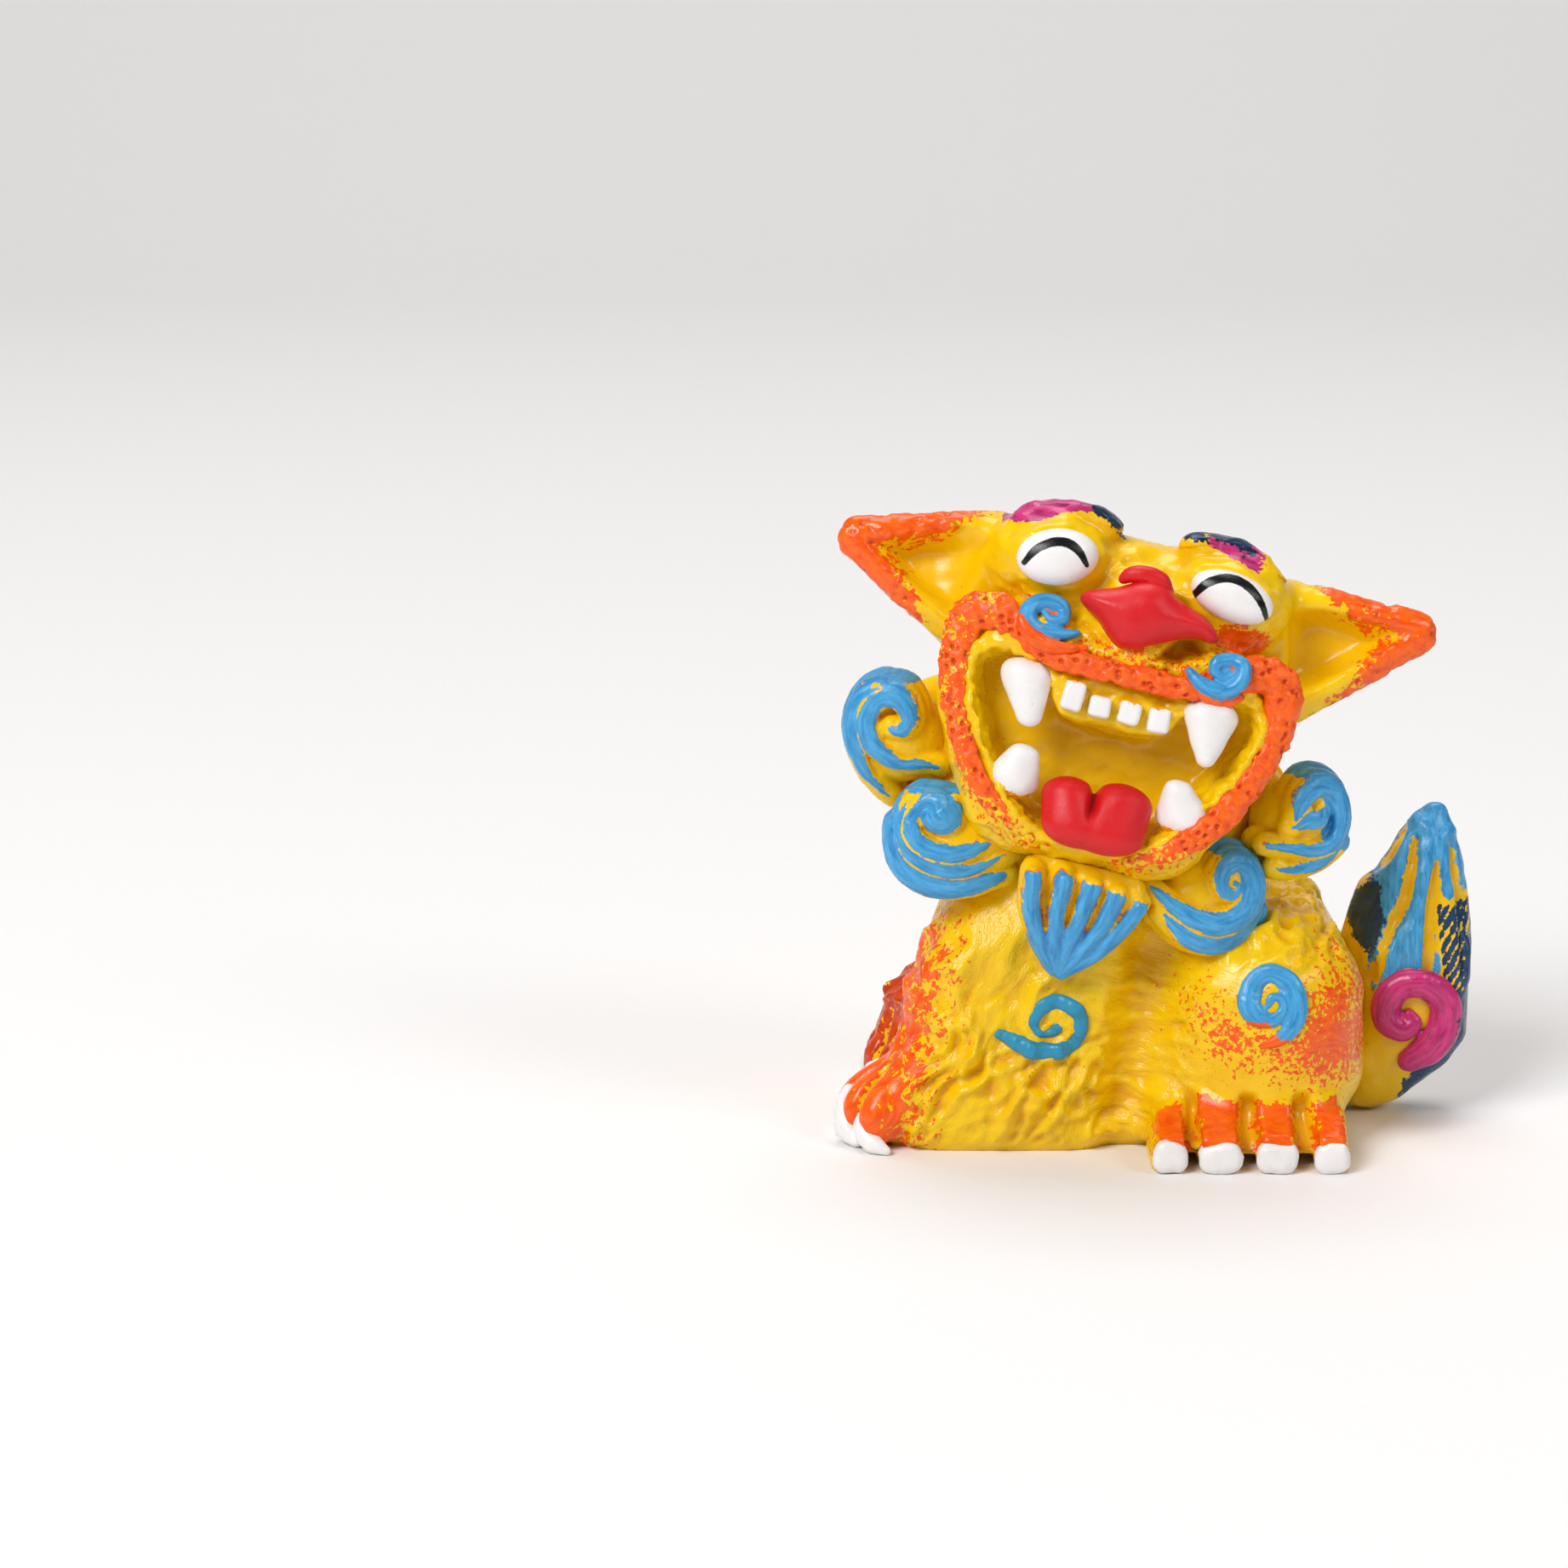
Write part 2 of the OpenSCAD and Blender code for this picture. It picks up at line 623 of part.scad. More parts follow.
// Row of four separate incisors on the upper gum
module incisors() {
    color(white)
        difference() {
            for (i = [-1.5 : 1 : 1.5])
                limb([i * mouth_half * 0.19, lip_t * 0.125, mouth_top - lip_t * 0.78],
                    incisor_w * [0.5, 0.58, 0.47],
                    [i * mouth_half * 0.19, lip_t * 0.125, mouth_top - lip_t * 1.09],
                    incisor_w * [0.5, 0.58, 0.37], small_fn);
            head_form();
            lip_form();
        }
}

// Tongue that lies over the lower lip, cleft down the middle
module tongue() {
    tip_z = mouth_top - mouth_h * 0.875;
    color(red)
        difference() {
            union()
                for (s = [right, left])
                    limb([s * tongue_w * 0.24, tongue_w * 0.27, tip_z + tongue_w * 0.27],
                        tongue_w * [0.26, 0.27, 0.23],
                        [s * tongue_w * 0.15, tongue_w * 0.16, tip_z - tongue_w * 0.045],
                        tongue_w * [0.3, 0.24, 0.2]);
            limb([0, -tongue_w * 0.07, tip_z + tongue_w * 0.57], tongue_w * [0.07, 0.18, 0.11],
                [0, -tongue_w * 0.045, tip_z], tongue_w * [0.045, 0.14, 0.11], small_fn);
            head_form();
            lip_form();
        }
}

// Lump of the bib of five ribs, from the middle of its top edge
module beard_form() {
    for (i = [-2 : 2])
        limb(beard_w * [i * 0.2, abs(i) * 0.026, -abs(i) * 0.018], beard_w * [0.1, 0.14, 0.105],
            [i * beard_w * 0.066, beard_w * 0.035, beard_w * (abs(i) * 0.079 + 0.06) - beard_l],
            beard_w * [0.066, 0.088, 0.06], small_fn);
    hull() {
        for (i = [-2, 2])
            ball(beard_w * [i * 0.19, 0.175, 0.053], beard_w * [0.105, 0.21, 0.123], small_fn);
        ball([0, beard_w * 0.123, beard_w * 0.123 - beard_l], beard_w * [0.07, 0.123, 0.07], small_fn);
    }
}

// Bib of ribs that hangs from the chin
module beard() {
    beard_tilt = 12;
    color(blue)
        difference() {
            on_head()
                translate([beard_w * 0.105, cheek_y * 0.7, jaw_z - cheek_r * 1.08])
                    rotate([head_pitch + beard_tilt, 0, 0])
                        beard_form();
            on_head()
                head_lump();
            torso_form();
        }
}

// Lump of a mane curl: pad, volute and the ball at its middle
module mane_curl_form(start) {
    path = volute(curl_turns, curl_r - curl_t / 2, curl_t * 0.42, start, curl_r * 1.6, 18);
    last = len(path) - 1;
    ball([0, curl_t * 0.92, 0], [curl_r * 0.92, curl_t * 1.115, curl_r * 0.92], mid_fn);
    tube(path, [for (i = [0 : last]) curl_t * swell(i / last, 0.5, 0.34)], 1.3);
    ball([0, 0, 0], curl_t * [0.4, 0.6, 0.4], small_fn);
}

// Mane curl at p on the head, turned about the upright, with its strand starting at an angle
module mane_at(p, side, turn, start) {
    translate([side * p[0], p[1], p[2]])
        rotate([0, 0, side * turn])
            on_side(side)
                mane_curl_form(start);
}

// Lump of the curl beside the mouth
module mane_upper_form(side) {
    mane_at([half_head + curl_r * 0.585, head_d * 0.34, jaw_z * 0.684], side, turn = 14, start = 215);
}

// Lump of the curl beside the chin
module mane_lower_form(side) {
    mane_at([half_head * 0.83, head_d * 0.29, jaw_z - curl_r * 1.057], side, turn = 8, start = 190);
}

// Lump of the curl behind the ear
module mane_back_form(side) {
    mane_at([half_head * 0.66, head_d * 0.96, curl_r * 0.377], side, turn = 145, start = 215);
}

// Lump of the curl on the nape
module mane_nape_form(side) {
    mane_at([half_head * 0.72, head_d * 0.94, jaw_z + curl_r * 0.094], side, turn = 142, start = 190);
}

// First child on the head, cut to fit the head, the shoulders, the left haunch and the second child
module seated() {
    color(blue)
        difference() {
            on_head()
                children(0);
            on_head()
                head_lump();
            torso_form();
            hind_leg_form(near);
            on_head()
                children(1);
        }
}

module mane_upper(side) {
    seated() {
        mane_upper_form(side);
        ear(side);
    }
}

module mane_lower(side) {
    seated() {
        mane_lower_form(side);
        mane_upper_form(side);
    }
}

module mane_back(side) {
    seated() {
        mane_back_form(side);
        mane_nape_form(side);
    }
}

module mane_nape(side) {
    seated() {
        mane_nape_form(side);
        mane_upper_form(side);
    }
}

// Sprig curl at p, facing -Y, of radius r and strand thickness t; the points of tail lead into its start
module sprig(p, r, t, turns, start, dome, tail) {
    path = concat(tail, volute(turns, r - t / 2, t * 0.45, start, dome, 16));
    last = len(path) - 1;
    translate(p)
        tube(path, [for (i = [0 : last]) t * swell(i / last, 0.5, 0.4)], 1.7);
}

// Leaf-shaped tail with three ribs on either face and a thick edge towards the back
module tail_form() {
    heights = tail_h * [0.123, 0.29, 0.55, 0.76, 0.954];
    shifts = tail_w * [-0.38, -0.018, -0.027, 0.018, 0.127];
    widths = [0.4, 0.48, 0.5, 0.38, 0.12];
    lump_h = tail_w * 0.455;
    difference() {
        union() {
            for (i = [0 : 3])
                limb([tail_x + shifts[i], tail_y, heights[i]],
                    [tail_w * widths[i], tail_t * widths[i] * 1.05, min(lump_h, heights[i])],
                    [tail_x + shifts[i + 1], tail_y, heights[i + 1]],
                    [tail_w * widths[i + 1], tail_t * widths[i + 1] * 1.05, min(lump_h, tail_w * widths[i + 1])]);
            for (k = [-1 : 1])
                for (s = [near, far])
                    limb([tail_x + k * tail_w * 0.3, tail_y + s * tail_t * 0.36, tail_h * 0.5],
                        [tail_w * 0.13, tail_t * 0.2, tail_h * 0.14],
                        [tail_x + tail_w * (0.08 + k * 0.064), tail_y + s * tail_t * 0.08, tail_h * 0.9],
                        [tail_w * 0.09, tail_t * 0.1, tail_h * 0.042], small_fn);
            limb([tail_x - tail_w * 0.4, tail_y + tail_t * 0.24, tail_h * 0.45],
                [tail_w * 0.27, tail_t * 0.4, tail_h * 0.14],
                [tail_x - tail_w * 0.3, tail_y + tail_t * 0.12, tail_h * 0.68],
                [tail_w * 0.22, tail_t * 0.31, tail_h * 0.105]);
        }
        floor_cut();
    }
}

module torso() {
    color(yellow)
        difference() {
            torso_form();
            tool_marks();
        }
}

module foreleg(side) {
    color(yellow)
        difference() {
            foreleg_form(side);
            torso_form();
        }
}

module hind_leg(side) {
    color(yellow)
        difference() {
            hind_leg_form(side);
            torso_form();
        }
}

// Head seated on the neck
module head() {
    color(yellow)
        difference() {
            on_head()
                head_form();
            torso_form();
        }
}

// Sprig curl on the left flank, below the mane
module chest_curl() {
    color(blue)
        difference() {
            sprig([chest_x + sprig_r * 1.28, sprig_t * 0.25 - chest_half, rump_h * 0.544],
                sprig_r, sprig_t, sprig_turns, 235, chest_half,
                sprig_r * [[-1.5, 0.19, -0.25], [-1, 0.16, -0.56]]);
            torso_form();
        }
}

// Sprig curl on a haunch
module hip_curl(side) {
    color(orange)
        difference() {
            mirror([0, side < 0 ? 0 : 1, 0])
                sprig([haunch_x + sprig_r * 0.125, -haunch_y - haunch_r * 0.9, haunch_z + sprig_r * 0.625],
                    sprig_r, sprig_t, sprig_turns, -50, haunch_r, sprig_r * [[0.28, 0.19, -1]]);
            hind_leg_form(side);
        }
}

module tail() {
    color(blue)
        difference() {
            tail_form();
            torso_form();
            hind_leg_form(near);
            hind_leg_form(far);
        }
}

// Volute at the foot of the tail
module tail_curl() {
    color(magenta)
        difference() {
            sprig([tail_x - tail_w * 0.036, tail_y - tail_t / 2, tail_h * 0.338],
                tail_curl_r, tail_curl_t, tail_curl_turns, -70, tail_w * 0.82,
                tail_curl_r * [[-0.1, 0.17, -1]]);
            tail_form();
            hind_leg_form(near);
            torso_form();
        }
}

torso();
foreleg(near);  // foreleg_left
foreleg(far);  // foreleg_right
hind_leg(near);  // hind_leg_left
hind_leg(far);  // hind_leg_right
claws_fore(near);  // claws_fore_left
claws_fore(far);  // claws_fore_right
claws_hind(near);  // claws_hind_left
claws_hind(far);  // claws_hind_right
head();
on_head() ear(left);  // ear_left
on_head() ear(right);  // ear_right
on_head() brow(left);  // brow_left
on_head() brow(right);  // brow_right
on_head() eye(left);  // eye_left
on_head() eye(right);  // eye_right
on_head() nose();
on_head() lip();
on_head() moustache(left);  // moustache_left
on_head() moustache(right);  // moustache_right
on_head() fang_upper(left);  // fang_upper_left
on_head() fang_upper(right);  // fang_upper_right
on_head() fang_lower(left);  // fang_lower_left
on_head() fang_lower(right);  // fang_lower_right
on_head() incisors();
on_head() tongue();
beard();
mane_upper(left);  // mane_left_upper
mane_lower(left);  // mane_left_lower
mane_upper(right);  // mane_right_upper
mane_lower(right);  // mane_right_lower
mane_back(left);  // mane_back_left
mane_back(right);  // mane_back_right
mane_nape(left);  // mane_nape_left
mane_nape(right);  // mane_nape_right
chest_curl();
hip_curl(near);  // hip_curl_left
hip_curl(far);  // hip_curl_right
tail();
tail_curl();
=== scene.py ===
import math
from contextlib import contextmanager

import bpy
import numpy as np
from bpy.props import FloatProperty, FloatVectorProperty, IntProperty, PointerProperty
from bpy.types import Operator, Panel, PropertyGroup
from mathutils import Matrix, Vector, noise


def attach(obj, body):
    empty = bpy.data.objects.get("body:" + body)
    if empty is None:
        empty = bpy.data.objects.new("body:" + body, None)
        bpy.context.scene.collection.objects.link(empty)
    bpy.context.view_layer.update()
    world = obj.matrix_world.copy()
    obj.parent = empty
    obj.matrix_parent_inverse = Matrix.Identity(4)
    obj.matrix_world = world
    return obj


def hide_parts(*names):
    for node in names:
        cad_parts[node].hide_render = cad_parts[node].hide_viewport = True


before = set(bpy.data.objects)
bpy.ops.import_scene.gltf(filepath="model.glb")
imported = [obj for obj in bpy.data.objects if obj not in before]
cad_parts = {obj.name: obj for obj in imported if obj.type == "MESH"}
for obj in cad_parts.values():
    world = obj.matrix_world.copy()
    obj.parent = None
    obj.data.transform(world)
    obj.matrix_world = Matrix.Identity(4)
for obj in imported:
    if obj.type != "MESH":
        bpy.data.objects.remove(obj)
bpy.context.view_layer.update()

bl_info = {
    "name": "Guardian lion figurine",
    "version": (1, 0, 0),
    "blender": (4, 5, 0),
    "location": "View3D > Sidebar > Lion",
    "description": "Dresses the cast lion's solids with modelled relief and hand-brushed paint",
    "category": "Object",
}

MM = 0.001
# The head is tipped back and leans to its own right. Places on it are given in its own
# frame: x to its left, y inwards from the lips, z up, in millimetres from FACE.
FACE = np.array((-4.6, -17.0, 41.0))
LEAN = np.array(Matrix.Rotation(math.radians(-12), 3, "X") @ Matrix.Rotation(math.radians(13.5), 3, "Y"))
INTO_FACE = LEAN @ np.array((0, 1.0, 0))
SIDES = (("left", 1), ("right", -1))
MOUTH_HALF, MOUTH_TOP, MOUTH_TALL = 13.3, 2.9, 15.9

# Rolled lip, from its lower end round the corner to the middle under the nose:
# share of the mouth's half width, share of its height, half the roll's width.
LIP = [
    (0.32, 0.994, 0.45), (0.62, 0.849, 0.85), (0.87, 0.61, 1.0), (1.02, 0.34, 1.15), (1.08, 0.088, 1.5),
    (1.05, -0.107, 1.75), (0.89, -0.17, 1.7), (0.68, -0.094, 1.35), (0.41, 0.0, 1.15), (0.0, 0.006, 1.05),
]
# Mane volutes round the face: centre, turn from the front in degrees, and their strands of hair as
# (across, up, half width) from the centre.
MANE = {
    "mane_right_upper": ((-24.2, -10.86, 37.67), -14, [
        [(4.32, -3.43, .28), (2.95, -3.15, .45), (1.41, -3.08, .62), (-.14, -2.42, .76), (-1.34, -1.16, .83),
         (-1.81, .4, .86), (-1.49, 1.94, 1.0), (-.42, 2.92, 1.07), (.86, 2.92, 1.04), (1.86, 1.94, .86),
         (2.1, .75, .73), (1.39, -.08, .52), (.4, .09, .28)],
        [(-.12, -6.49, .17), (-.98, -5.53, .38), (-2.01, -4.13, .59), (-2.7, -2.56, .69), (-3.13, -.99, .73),
         (-3.22, .4, .73), (-2.8, 1.8, .73), (-1.87, 3.01, .78), (-.59, 3.57, .69)]]),
    "mane_right_lower": ((-20.67, -14.05, 28.44), -14, [
        [(1.38, 2.33, 1.6), (1.2, 2.5, 1.65), (.69, 3.34, .69), (-.41, 3.34, .62), (-1.31, 2.47, .66),
         (-1.64, 1.25, .83), (-1.12, .03, .93), (.24, -.84, .93), (2.09, -1.1, .83), (3.96, -.81, .66),
         (5.35, -.28, .24)],
        [(-.92, 3.48, .31), (-2.02, 2.47, .48), (-2.39, 1.08, .62), (-2.01, -.35, .76), (-.63, -1.75, .86),
         (1.42, -2.62, .8), (3.46, -2.76, .62), (5.16, -2.1, .41), (6.69, -1.36, .14)],
        [(-3.17, .73, .41), (-3.16, -1.02, .76), (-2.25, -2.68, 1.0), (-.62, -3.81, 1.11), (1.43, -4.39, 1.0),
         (3.48, -4.31, .86), (5.18, -3.78, .73), (6.28, -3.38, .41)]]),
    "mane_left_lower": ((4.42, -15.3, 22.55), 14, [
        [(-5.18, 1.86, .31), (-3.84, .7, .61), (-2.11, -.57, .92), (-.02, -1.34, 1.11), (1.97, -1.05, 1.15),
         (3.55, .12, 1.11), (4.08, 1.77, 1.0), (3.57, 3.22, .96), (2.33, 3.96, .88), (1.11, 3.51, .81),
         (.57, 2.45, .69), (1.06, 1.38, .58), (2.01, 1.18, .46), (2.41, 1.86, .35), (1.99, 2.19, .23)],
        [(-4.2, -.47, .31), (-2.65, -2.12, .77), (-.74, -3.1, .92), (1.16, -3.2, .88), (3.03, -2.32, .69),
         (4.61, -.86, .31)]]),
    "mane_left_upper": ((11.97, -12.66, 29.18), 14, [
        [(-.29, .84, .42), (.43, 2.59, .86), (1.92, 3.56, .96), (3.64, 2.98, .86), (4.44, 1.23, .77),
         (4.31, -.71, .73), (3.2, -1.88, .69), (1.49, -2.07, .61), (-.6, -1.72, .5), (-2.7, -1.49, .27)],
        [(-.55, .16, .27), (.66, .75, .77), (1.99, .75, .73), (2.35, 1.43, .35)],
        [(-1.7, -3.67, .19), (-.17, -3.89, .46), (1.53, -3.63, .61), (3.04, -3.01, .5), (4.43, -1.88, .23)]]),
}
# Volutes behind the head: centre on the head, turn from the front, size against the one they repeat.
BACK_MANE = {
    "mane_back_left": ((10.2, 23.0, 2.0), 145, 0.95),
    "mane_back_right": ((-10.2, 23.0, 2.0), -145, 0.95),
    "mane_nape_left": ((11.2, 22.6, -9.0), 142, 0.72),
    "mane_nape_right": ((-11.2, 22.6, -9.0), -142, 0.72),
}
# Hind toes: place across, half width and tilt. How far each side's hind foot reaches, where each
# side's foretoes fan out from, and how far the paws are from the middle: the far ones, side 1, are tucked in.
HIND_TOES = ((0.62, 1.64, 4), (4.95, 2.05, -3), (9.95, 1.9, 2), (14.75, 1.64, -4))
FOOT_REACH = {-1: 20.0, 1: 19.0}
WRIST = {-1: -21.0, 1: -18.6}
PAW_ASIDE = 8.4
# A fore claw from its root to the floor: along the toe's front edge, out from the wrist, up, half width.
FORE_CLAW = (
    (-1.5, 6.1, 3.0, .35), (-1.05, 6.5, 2.2, .7), (-.3, 6.7, 1.3, .85), (.7, 6.7, .75, .75), (1.7, 6.4, .4, .4),
)
# Heights, and how far the far shin is set back from the near one there. The valley before the haunch.
FAR_SHIN = ((5, 7.2, 9.1, 11, 12.8, 14.3, 18, 22, 26), (1.6, 0.1, -0.9, 1.2, 3.2, 4.2, 4.5, 3, 1))
VALLEY = [(-1.0, 17.5, 0), (-1.4, 13, 0), (-2.2, 8.5, 0), (-3.2, 3, 0)]
# The tool's runs: steeply down the chest, nearly level along the flank.
STEEP = np.array(((0.5, 0, 0.866), (0, 1, 0), (-0.866, 0, 0.5)))
LEVEL = np.array(((0.98, 0, -0.2), (0, 1, 0), (0.2, 0, 0.98)))
# Curls on the flank, haunch and tail, and the tail's grooves, as (across, up, half width).
CHEST_CURL = [
    (-14.17, 10.86, .46), (-12.7, 10.25, .72), (-11.11, 9.6, .8), (-9.43, 9.43, .76), (-7.75, 9.93, .72),
    (-7.0, 11.45, .72), (-7.38, 13.08, .72), (-8.96, 13.73, .72), (-10.42, 13.29, .7), (-11.14, 11.99, .52),
    (-10.6, 10.95, .36), (-9.66, 10.95, .38), (-8.95, 11.3, .44), (-9.1, 11.6, .4),
]
HIP_CURL = [
    (8.65, 10.79, .37), (10.22, 11.5, .78), (11.43, 12.9, 1.01), (11.62, 14.66, 1.11), (10.9, 16.3, 1.15),
    (9.41, 17.04, 1.06), (8.07, 16.3, 1.15), (7.43, 14.66, 1.2), (8.13, 13.49, 1.11), (9.5, 13.14, .78),
    (10.39, 13.96, .6), (10.25, 15.01, .51), (9.46, 15.13, .46), (9.13, 14.43, .41),
]
# Orange dabbed on the haunch round its curl: across and up from HAUNCH, cover at the middle, fading per mm.
HAUNCH = (10, 14.6)
HAUNCH_STIPPLE = [
    (5.0, -3.4, .66, .17), (5.8, -.4, .28, .15), (5.2, 2.6, -.08, .12), (-3.2, -3.4, .16, .13),
    (-5.8, -1.4, -.1, .1), (1.0, -5.0, .02, .12), (-1.8, -1.6, -.08, .12),
]
TAIL_CURL = [
    (23.65, 5.58, 1.01), (25.27, 6.68, 1.34), (26.51, 8.39, 1.38), (26.81, 10.34, 1.34), (25.93, 12.04, 1.27),
    (24.14, 12.89, 1.2), (22.27, 12.41, 1.24), (21.38, 10.83, 1.24), (21.66, 9.12, 1.15), (22.98, 8.39, .92),
    (23.9, 9.12, .69), (23.52, 9.85, .51),
]
TAIL_GROOVES = [
    [(22.9, 26.7, .2), (21.6, 24.6, .42), (20.3, 22.6, .3)],
    [(23.81, 25.59, .25), (23.3, 23.09, .5), (22.62, 19.88, .56), (21.42, 17.47, .56), (19.98, 13.02, .5)],
    [(25.86, 23.69, .15), (25.77, 22.29, .42), (25.38, 19.08, .56), (25.07, 13.23, .5)],
    [(27.31, 24.79, .1), (27.71, 22.49, .38), (28.18, 20.08, .42), (28.28, 14.04, .2)],
]
# The tail's dark facet, seen from the front. Heights, and where the yellow on the left ends there.
# Heights, and where the dark edge on the right starts there.
TAIL_FACET = [(20.6, 22.5), (17.8, 19.0), (18.6, 16.2), (20.0, 14.8), (21.3, 18.3)]
TAIL_BARE = ((2, 5, 10, 13, 15, 19, 21.5, 22.8, 24.5), (26, 24, 20.5, 20, 19.8, 18.9, 20.2, 20.4, 12))
TAIL_DARK = ((3, 8, 12, 16, 18), (23.0, 26.4, 27.7, 28.0, 28.7))
# Ribs of the beard, as (x, y, z, half width).
BEARD_RIBS = [
    [(-11.51, -17.57, 26.19, .76), (-11.62, -16.54, 22.76, .76), (-10.69, -15.59, 19.53, .63),
     (-9.58, -14.84, 16.97, .42)],
    [(-8.81, -17.42, 25.69, .85), (-9.37, -16.48, 22.53, .72), (-9.34, -15.59, 19.53, .59), (-9.3, -14.84, 16.97, .42)],
    [(-6.41, -17.24, 25.1, .89), (-7.44, -16.27, 21.84, .72), (-8.43, -15.45, 19.07, .59), (-9.2, -14.8, 16.86, .42)],
    [(-4.22, -17.02, 24.37, .89), (-5.35, -16.13, 21.38, .76), (-7.13, -15.38, 18.83, .63), (-9.0, -14.76, 16.69, .42)],
    [(-2.2, -16.65, 23.11, .72), (-3.67, -16.0, 20.92, .72), (-5.97, -15.28, 18.49, .63), (-8.87, -14.7, 16.51, .42)],
]
# On the head: strands of the moustache and ink lines on the eyes, as (across, up, half width).
MOUSTACHE = {
    "right": [
        [(-4.6, 5.29, .32), (-6.22, 4.79, .59), (-7.95, 4.75, .7), (-9.07, 5.5, .73), (-8.94, 6.66, .73),
         (-7.77, 7.37, .7), (-6.4, 7.22, .67), (-6.09, 6.27, .54), (-7.01, 5.86, .38), (-7.71, 6.31, .27)],
        [(-3.68, 4.25, .27), (-5.43, 3.75, .48), (-7.3, 3.73, .59), (-8.84, 4.35, .54), (-9.63, 5.37, .38)]],
    "left": [
        [(5.53, 4.4, .32), (6.36, 3.72, .54), (7.67, 3.31, .65), (9.08, 3.56, .67), (9.96, 4.58, .67),
         (9.83, 5.81, .65), (8.73, 6.13, .59), (7.63, 5.71, .54), (7.58, 4.81, .43), (8.46, 4.49, .35),
         (9.0, 5.02, .27)],
        [(4.89, 4.51, .22), (5.89, 3.47, .38), (7.46, 2.51, .48), (9.09, 2.41, .48), (10.37, 3.2, .32)]],
}
INK = {
    "right": [(-10.46, 10.17, .15), (-9.87, 11.31, .24), (-8.99, 12.11, .3), (-8.02, 12.56, .32),
              (-6.95, 12.55, .32), (-5.95, 11.98, .27), (-5.22, 11.16, .12)],
    "left": [(4.41, 10.87, .2), (5.03, 11.88, .28), (5.94, 12.58, .3), (6.93, 12.92, .3), (8.02, 12.86, .3),
             (9.23, 12.29, .28), (10.2, 11.37, .24), (10.97, 10.3, .1)],
}
# Eyes on the head: centre, half width, half height, tilt in degrees.
EYE = {"right": ((-7.76, 1.35, 11.35), 3.55, 2.45, 16), "left": ((7.66, 1.35, 11.5), 3.75, 2.1, -9)}
# Outline of the nose, and of the hollows under its wings with their depth, on the head.
NOSE = [
    (-4.99, 8.46), (-4.44, 8.92), (-2.91, 9.4), (-1.74, 10.01), (-.16, 10.77), (.89, 10.97), (1.95, 10.67),
    (2.88, 10.02), (4.09, 9.54), (5.28, 9.16), (6.31, 8.53), (6.9, 7.9), (7.18, 7.42), (6.61, 7.28), (5.68, 7.5),
    (4.21, 7.2), (2.84, 6.49), (1.18, 5.65), (-.12, 5.12), (-.99, 5.07), (-1.83, 5.81), (-2.96, 6.86), (-4.27, 7.75),
]
NOSTRILS = (
    ([(1.83, 4.25), (2.68, 5.71), (4.11, 7.3), (5.84, 7.5), (6.75, 6.6), (6.89, 5.62), (4.26, 4.66)], 2.6),
    ([(-4.6, 7.2), (-2.9, 6.6), (-2.0, 5.4), (-3.0, 5.0), (-4.6, 6.0)], 0.7),
)
# The small roll of clay over the nose, as (x, y, z, half width).
NOSE_ROLL = [(-1.9, 0, 10.65, .3), (-1.4, -0.3, 11.15, .5), (-.5, -0.45, 11.45, .62), (.5, -0.45, 11.5, .65),
             (1.4, -0.3, 11.15, .6), (2.1, 0, 10.5, .4)]
# Fangs on the head, each drawn out between two balls: root and its radii, tip and its radii.
FANGS = {
    "fang_upper_right": ((-8.0, 1.4, 0.8), (2.35, 1.8, 1.6), (-7.0, 0.6, -2.6), (1.2, 0.9, 0.9)),
    "fang_upper_left": ((8.3, 1.4, 1.1), (2.5, 1.8, 1.5), (8.6, 0.6, -2.6), (0.95, 0.9, 0.8)),
    "fang_lower_right": ((-7.0, 2.3, -8.1), (2.3, 1.7, 1.7), (-6.6, 1.6, -5.8), (1.4, 1.0, 0.9)),
    "fang_lower_left": ((8.1, 2.3, -8.0), (2.5, 1.7, 1.7), (7.1, 1.6, -5.7), (1.3, 1.0, 0.9)),
}
# Incisors on the head: across, up, half height, tilt. Halves of the tongue, each between two balls.
INCISORS = ((-3.71, -.02, 1.3, 3), (-1.28, -.4, .95, -2), (1.3, -.3, 1.05, 2), (3.91, -.35, 1.15, -3))
TONGUE = (
    (((-1.9, 1.6, -8.5), (2.5, 2.2, 1.75)), ((-0.8, 0.7, -10.9), (3.1, 2.0, 1.9))),
    (((2.6, 1.6, -8.1), (2.7, 2.2, 1.8)), ((1.6, 0.7, -10.9), (3.6, 2.0, 1.9))),
)
# Ears: where the orange starts along the upper rim, how much later on the lower one, where the cup is deep.
EAR = {"left": (16.0, 3.0, 16.5), "right": (15.5, 2.6, 19)}
# The brush's run along the brows, and the lower edge of the paint on each one, on the head.
BROW_RUN = (0.16, 1.2, 1.2)
BROW_EDGE = {
    "right": [(-12.03, 13.55), (-10.3, 14.04), (-8.67, 14.97), (-6.97, 15.61), (-5.39, 16.07),
              (-3.85, 15.44), (-1.83, 14.07)],
    "left": [(2.55, 15.43), (4.93, 15.46), (6.55, 15.16), (7.27, 14.71), (9.23, 14.26), (11.0, 13.4)],
}
# Painter's fields are kept counted from -FIELD_ZERO, so that a piece without a field has none of it.
FIELD_ZERO = 10.0
# Grains in millimetres: the body before its toes and strokes, the tail, and brows, teeth, tongue and claws.
CORE_GRAIN, TAIL_GRAIN, SMALL_GRAIN = 0.8, 0.22, 0.2
# How a mane volute swells towards its middle, as twice the radius in millimetres.
VOLUTE_ROUND = 17
# Noise in the paint: thick drifts, ragged edges, stipple and grit, each as size in millimetres and detail.
PAINT_NOISE = ((4.0, 3.0), (1.3, 3.0), (0.42, 2.0), (0.14, 2.0))
# Depth of the relief in the paint, in millimetres.
PAINT_STEP = 0.08
